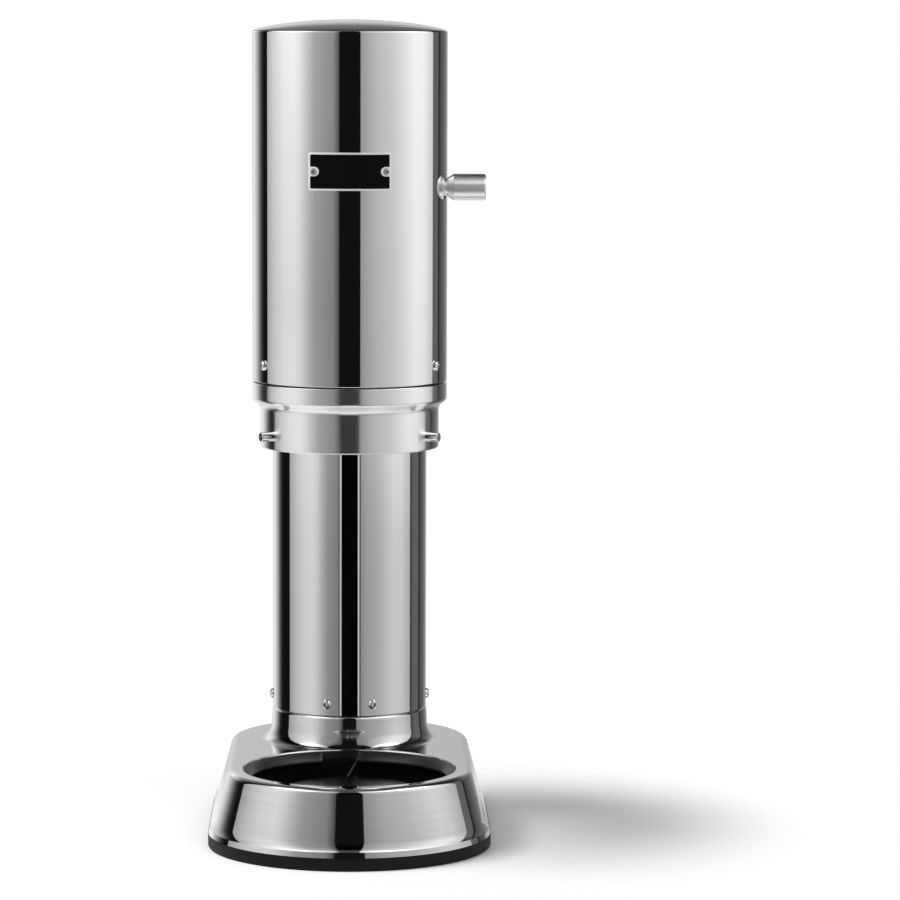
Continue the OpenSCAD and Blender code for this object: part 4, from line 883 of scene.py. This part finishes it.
class Nodes:
    """A material's node tree, with short ways to add and link nodes."""

    def __init__(self, name):
        self.material = bpy.data.materials.new(name)
        self.material.use_nodes = True
        self.tree = self.material.node_tree
        self.shader = self.tree.nodes["Principled BSDF"]

    def add(self, kind, **values):
        """New node of a kind, with its settings."""
        node = self.tree.nodes.new(kind)
        for key, value in values.items():
            setattr(node, key, value)
        return node

    def link(self, start, end):
        """Links an output to an input."""
        self.tree.links.new(start, end)

    def noise(self, scale, detail, stretch=EVEN):
        """Noise over the object's own coordinates, stretched along an axis for grain."""
        place = self.add("ShaderNodeTexCoord")
        mapping = self.add("ShaderNodeMapping")
        mapping.inputs["Scale"].default_value = stretch
        texture = self.add("ShaderNodeTexNoise")
        texture.inputs["Scale"].default_value = scale
        texture.inputs["Detail"].default_value = detail
        self.link(place.outputs["Object"], mapping.inputs["Vector"])
        self.link(mapping.outputs["Vector"], texture.inputs["Vector"])
        return texture.outputs["Fac"]

    def spread(self, factor, low, high):
        """Values between two limits, following a noise."""
        node = self.add("ShaderNodeMapRange")
        node.inputs["From Min"].default_value = NOISE_LOW
        node.inputs["From Max"].default_value = NOISE_HIGH
        node.inputs["To Min"].default_value = low
        node.inputs["To Max"].default_value = high
        self.link(factor, node.inputs["Value"])
        return node.outputs["Result"]

    def tint(self, factor, low, high):
        """Colours between two limits, following a noise."""
        node = self.add("ShaderNodeMix", data_type="RGBA")
        node.inputs["A"].default_value = (*low, 1)
        node.inputs["B"].default_value = (*high, 1)
        self.link(factor, node.inputs["Factor"])
        return node.outputs["Result"]

    def bump(self, factor, strength, depth):
        """Fine relief that follows a noise."""
        node = self.add("ShaderNodeBump")
        node.inputs["Strength"].default_value = strength
        node.inputs["Distance"].default_value = depth
        self.link(factor, node.inputs["Height"])
        self.link(node.outputs["Normal"], self.shader.inputs["Normal"])

    def show(self, shader):
        """Makes a shader output the material's surface."""
        self.link(shader, self.tree.nodes["Material Output"].inputs["Surface"])

    def glow(self):
        """Turns the material into plain light, and gives the input of the light's colour."""
        self.tree.nodes.remove(self.shader)
        light = self.add("ShaderNodeEmission")
        self.show(light.outputs["Emission"])
        self.material.cycles.emission_sampling = "NONE"
        return light.inputs["Color"]


def grey(value):
    """Neutral colour."""
    return (value, value, value)


def metal(
    name, light, roughness, change, grain, strength, metallic=1, lathe=None, smear=EVEN, fade=SMUDGE_FADE,
):
    """Steel or another metal, with faint smudges and a grain; lathe is the axis it was turned about."""
    nodes = Nodes(name)
    nodes.shader.inputs["Metallic"].default_value = metallic
    if lathe:
        nodes.shader.inputs["Anisotropic"].default_value = LATHE_STRETCH
        nodes.shader.inputs["Anisotropic Rotation"].default_value = LATHE_TURN
        tangent = nodes.add("ShaderNodeTangent", direction_type="RADIAL", axis=lathe)
        nodes.link(tangent.outputs["Tangent"], nodes.shader.inputs["Tangent"])
    smudge = nodes.noise(SMUDGE_SCALE, SMUDGE_DETAIL, smear)
    low = [fade * part for part in light]
    nodes.link(nodes.tint(smudge, low, light), nodes.shader.inputs["Base Color"])
    rough = nodes.spread(smudge, roughness - change, roughness + change)
    nodes.link(rough, nodes.shader.inputs["Roughness"])
    nodes.bump(nodes.noise(GRAIN_SCALE, GRAIN_DETAIL, grain), strength, GRAIN_DEPTH)
    return nodes.material


def coating(name, colour, roughness, change, scale, strength, shine=COAT_SHINE):
    """Plastic, rubber or paint, with a fine surface grain."""
    nodes = Nodes(name)
    nodes.shader.inputs["Specular IOR Level"].default_value = shine
    patch = nodes.noise(PATCH_SCALE, PATCH_DETAIL)
    low = [PATCH_FADE * part for part in colour]
    nodes.link(nodes.tint(patch, low, colour), nodes.shader.inputs["Base Color"])
    rough = nodes.spread(patch, roughness - change, roughness + change)
    nodes.link(rough, nodes.shader.inputs["Roughness"])
    nodes.bump(nodes.noise(scale, COAT_DETAIL), strength, COAT_DEPTH)
    return nodes.material


# Finishes by slot, with a few more for single pieces
METALS = {
    "polished_steel": dict(
        light=grey(0.86), roughness=0.035, change=0.015, grain=LEVEL_GRAIN, strength=0.012,
    ),
    "drawn_steel": dict(
        light=grey(0.90), roughness=0.05, change=0.02, grain=LEVEL_GRAIN, strength=0.012,
        smear=STREAKS, fade=0.84,
    ),
    "turned_steel": dict(
        light=grey(0.93), roughness=0.22, change=0.02, grain=LEVEL_GRAIN, strength=0.06, lathe="Z",
    ),
    "brushed_steel": dict(
        light=grey(0.92), roughness=0.36, change=0.03, grain=ACROSS_GRAIN, strength=0.06, lathe="X",
    ),
    "bell_steel": dict(light=grey(0.80), roughness=0.16, change=0.03, grain=LEVEL_GRAIN, strength=0.05),
    "dark_steel": dict(light=grey(0.30), roughness=0.35, change=0.05, grain=LEVEL_GRAIN, strength=0.05),
    "bright_steel": dict(light=grey(0.84), roughness=0.12, change=0.03, grain=LEVEL_GRAIN, strength=0.03),
    "screw_steel": dict(light=grey(0.84), roughness=0.12, change=0.03, grain=LEVEL_GRAIN, strength=0.03),
    "plate_metal": dict(
        light=grey(1.0), roughness=0.25, change=0.03, grain=FLAT_GRAIN, strength=0.05, metallic=0.2,
    ),
    "cast_alloy": dict(light=grey(0.45), roughness=0.42, change=0.06, grain=CAST_GRAIN, strength=0.10),
    "brass": dict(light=(0.80, 0.58, 0.25), roughness=0.24, change=0.04, grain=LEVEL_GRAIN, strength=0.05),
}
COATINGS = {
    "cylinder_paint": dict(
        colour=grey(0.02), roughness=0.45, change=0.04, scale=900, strength=0.10, shine=0.2,
    ),
    "black_plastic": dict(colour=grey(0.010), roughness=0.30, change=0.05, scale=1400, strength=0.10),
    "matt_black": dict(
        colour=grey(0.003), roughness=0.75, change=0.05, scale=1400, strength=0.05, shine=0.1,
    ),
    # The tray's black plastic made lighter grey for the ramps: painted light, so their faces look lit from
    # above
    "painted_lit_ramp_plastic": dict(colour=grey(0.10), roughness=0.35, change=0.05, scale=1400, strength=0.10),
    "bush_plastic": dict(colour=(0.55, 0.50, 0.38), roughness=0.45, change=0.05, scale=900, strength=0.10),
    "black_rubber": dict(
        colour=grey(0.004), roughness=0.55, change=0.06, scale=1200, strength=0.20, shine=0.2,
    ),
}
made_finishes = {}


def finish_of(name):
    """The finish of a name, made once."""
    if name not in made_finishes:
        if name in METALS:
            made_finishes[name] = metal(name, **METALS[name])
        else:
            made_finishes[name] = coating(name, **COATINGS[name])
    return made_finishes[name]


def dress_cad_nodes():
    """Gives every CAD node the finish of its slot, and rounds the bayonet ring's edges."""
    for subpart in frame["record"]["subparts"]:
        node = frame["nodes"][subpart["node"]]
        node.data.materials.clear()
        node.data.materials.append(finish_of(subpart["material_slot"]))
    ring = frame["nodes"]["bayonet_ring"]
    ring.modifiers.new("Joined points", "WELD").merge_threshold = MERGE
    edges = ring.modifiers.new("Round edges", "BEVEL")
    edges.width = RING_EDGE
    edges.segments = BEVEL_STEPS
    edges.limit_method = "ANGLE"
    edges.angle_limit = SHARP


def for_gloss_alone(panel):
    """Makes a stage panel that only glossy rays see."""
    panel.visible_camera = False
    panel.visible_diffuse = False
    panel.visible_shadow = False
    panel.visible_transmission = False


def studio_panel(name, stops, levels, radius, low, high):
    """Curved panel of light that only polished surfaces see, bright by azimuth and height."""
    start = stops[0][0]
    end = stops[-1][0]
    bm = bmesh.new()
    before = None
    for i in range(ROUND_STEPS + 1):
        turn = math.radians(start + (end - start) * i / ROUND_STEPS - 90)
        row = [bm.verts.new(point) for point in row_at([(radius, low), (radius, high)], 0, turn)]
        if before:
            bm.faces.new((before[0], row[0], row[1], before[1]))
        before = row
    panel = loose_object(name, bm)
    panel.data.materials.append(panel_light(name, stops, levels))
    for_gloss_alone(panel)


def fill_ramp(nodes, value, stops):
    """Brightness that follows a value through a few stops."""
    low = stops[0][0]
    high = stops[-1][0]
    part = nodes.add("ShaderNodeMapRange")
    part.inputs["From Min"].default_value = low
    part.inputs["From Max"].default_value = high
    nodes.link(value, part.inputs["Value"])
    ramp = nodes.add("ShaderNodeValToRGB")
    elements = ramp.color_ramp.elements
    for place, light in stops[1:-1]:
        elements.new((place - low) / (high - low)).color = (*grey(light), 1)
    elements[0].color = (*grey(stops[0][1]), 1)
    elements[len(elements) - 1].color = (*grey(stops[-1][1]), 1)
    nodes.link(part.outputs["Result"], ramp.inputs["Fac"])
    return ramp.outputs["Color"]


def panel_light(name, stops, levels):
    """Light of a studio panel."""
    nodes = Nodes(name)
    place = nodes.add("ShaderNodeTexCoord")
    parts = nodes.add("ShaderNodeSeparateXYZ")
    nodes.link(place.outputs["Object"], parts.inputs["Vector"])
    back = nodes.add("ShaderNodeMath", operation="MULTIPLY")
    back.inputs[1].default_value = -1
    nodes.link(parts.outputs["Y"], back.inputs[0])
    turn = nodes.add("ShaderNodeMath", operation="ARCTAN2")
    nodes.link(parts.outputs["X"], turn.inputs[0])
    nodes.link(back.outputs["Value"], turn.inputs[1])
    degrees = nodes.add("ShaderNodeMath", operation="DEGREES")
    nodes.link(turn.outputs["Value"], degrees.inputs[0])
    product = nodes.add("ShaderNodeVectorMath", operation="MULTIPLY")
    nodes.link(fill_ramp(nodes, degrees.outputs["Value"], stops), product.inputs[0])
    nodes.link(fill_ramp(nodes, parts.outputs["Z"], levels), product.inputs[1])
    nodes.link(product.outputs["Vector"], nodes.glow())
    return nodes.material


def disc(name, radius, height):
    """Flat round object of the studio."""
    bm = bmesh.new()
    bmesh.ops.create_circle(bm, cap_ends=True, segments=ROUND_STEPS, radius=radius)
    bm.transform(Matrix.Translation((0, 0, height)))
    return loose_object(name, bm)


def ceiling():
    """Disc of faint even light on the far wall's upper edge."""
    panel = disc("ceiling", FAR_R, FAR_TOP)
    nodes = Nodes("ceiling")
    nodes.glow().default_value = (*grey(CEILING_LIGHT), 1)
    panel.data.materials.append(nodes.material)
    for_gloss_alone(panel)


def studio_panels():
    """Both soft panels, the far wall and the ceiling over it."""
    studio_panel("left_panel", LEFT_PANEL, LEFT_LEVELS, PANEL_R, PANEL_LOW, PANEL_TOP)
    studio_panel("right_panel", RIGHT_PANEL, RIGHT_LEVELS, PANEL_R, PANEL_LOW, PANEL_TOP)
    studio_panel("far_wall", FAR_WALL, FAR_LEVELS, FAR_R, FAR_LOW, FAR_TOP)
    ceiling()


def studio_floor():
    """Pale floor that fades into the white background."""
    floor = disc("studio_floor", FLOOR_R, 0)
    floor.location.x = FLOOR_SHIFT
    nodes = Nodes("studio_floor")
    nodes.shader.inputs["Base Color"].default_value = (*grey(FLOOR_GREY), 1)
    nodes.shader.inputs["Roughness"].default_value = FLOOR_ROUGHNESS
    nodes.shader.inputs["Specular IOR Level"].default_value = FLOOR_SHINE
    place = nodes.add("ShaderNodeTexCoord")
    reach = nodes.add("ShaderNodeVectorMath", operation="LENGTH")
    nodes.link(place.outputs["Object"], reach.inputs[0])
    fade = nodes.add("ShaderNodeMapRange", interpolation_type="SMOOTHSTEP")
    fade.inputs["From Min"].default_value = FLOOR_SOLID
    fade.inputs["From Max"].default_value = FLOOR_FADE
    nodes.link(reach.outputs["Value"], fade.inputs["Value"])
    clear = nodes.add("ShaderNodeBsdfTransparent")
    mix = nodes.add("ShaderNodeMixShader")
    nodes.link(fade.outputs["Result"], mix.inputs["Fac"])
    nodes.link(nodes.shader.outputs["BSDF"], mix.inputs[1])
    nodes.link(clear.outputs["BSDF"], mix.inputs[2])
    nodes.show(mix.outputs["Shader"])
    floor.data.materials.append(nodes.material)


def studio_world():
    """White background for camera, glossy and transmitted rays, with a plain soft light for the rest."""
    world = bpy.data.worlds.new("studio")
    bpy.context.scene.world = world
    world.use_nodes = True
    tree = world.node_tree
    soft = tree.nodes["Background"]
    soft.inputs["Color"].default_value = (*grey(1), 1)
    soft.inputs["Strength"].default_value = WORLD_LIGHT
    white = tree.nodes.new("ShaderNodeBackground")
    white.inputs["Color"].default_value = (*grey(1), 1)
    white.inputs["Strength"].default_value = 1
    path = tree.nodes.new("ShaderNodeLightPath")
    seen = path.outputs["Is Camera Ray"]
    for kind in ("Is Glossy Ray", "Is Transmission Ray"):
        added = tree.nodes.new("ShaderNodeMath")
        added.operation = "ADD"
        added.use_clamp = True
        tree.links.new(seen, added.inputs[0])
        tree.links.new(path.outputs[kind], added.inputs[1])
        seen = added.outputs["Value"]
    mix = tree.nodes.new("ShaderNodeMixShader")
    tree.links.new(seen, mix.inputs["Fac"])
    tree.links.new(soft.outputs["Background"], mix.inputs[1])
    tree.links.new(white.outputs["Background"], mix.inputs[2])
    tree.links.new(mix.outputs["Shader"], tree.nodes["World Output"].inputs["Surface"])


def lamp(name, place, size, power):
    """Soft area lamp that faces the object and leaves no glint of its own."""
    light = bpy.data.lights.new(name, "AREA")
    light.shape = "DISK"
    light.size = size
    light.energy = power
    obj = bpy.data.objects.new(name, light)
    obj.location = place
    aim = Vector(LAMP_AIM) - Vector(place)
    obj.rotation_euler = aim.to_track_quat("-Z", "Y").to_euler()
    obj.visible_glossy = False
    bpy.context.scene.collection.objects.link(obj)


def camera():
    """Long lens in front of the object, tilted a little down."""
    data = bpy.data.cameras.new("camera")
    data.lens = CAMERA_LENS
    data.clip_end = CAMERA_FAR
    obj = bpy.data.objects.new("camera", data)
    obj.location = CAMERA_PLACE
    turns = (90 - CAMERA_PITCH, -CAMERA_ROLL, -CAMERA_YAW)
    obj.rotation_euler = [math.radians(turn) for turn in turns]
    bpy.context.scene.collection.objects.link(obj)
    bpy.context.scene.camera = obj


bpy.context.scene.view_settings.view_transform = "Standard"
camera()
studio_world()
studio_floor()
studio_panels()
for lamp_name, setting in LAMPS.items():
    lamp(lamp_name, **setting)

dress_cad_nodes()
base_shell()
foot_ring()
column_tube()
head_shell()
lid()
collar()
ramps()
drip_tray()
rest_plate()
lever()
lever_boss()
column_screws()
head_screws()
nameplate_screws()
bayonet_pins()
nameplate()
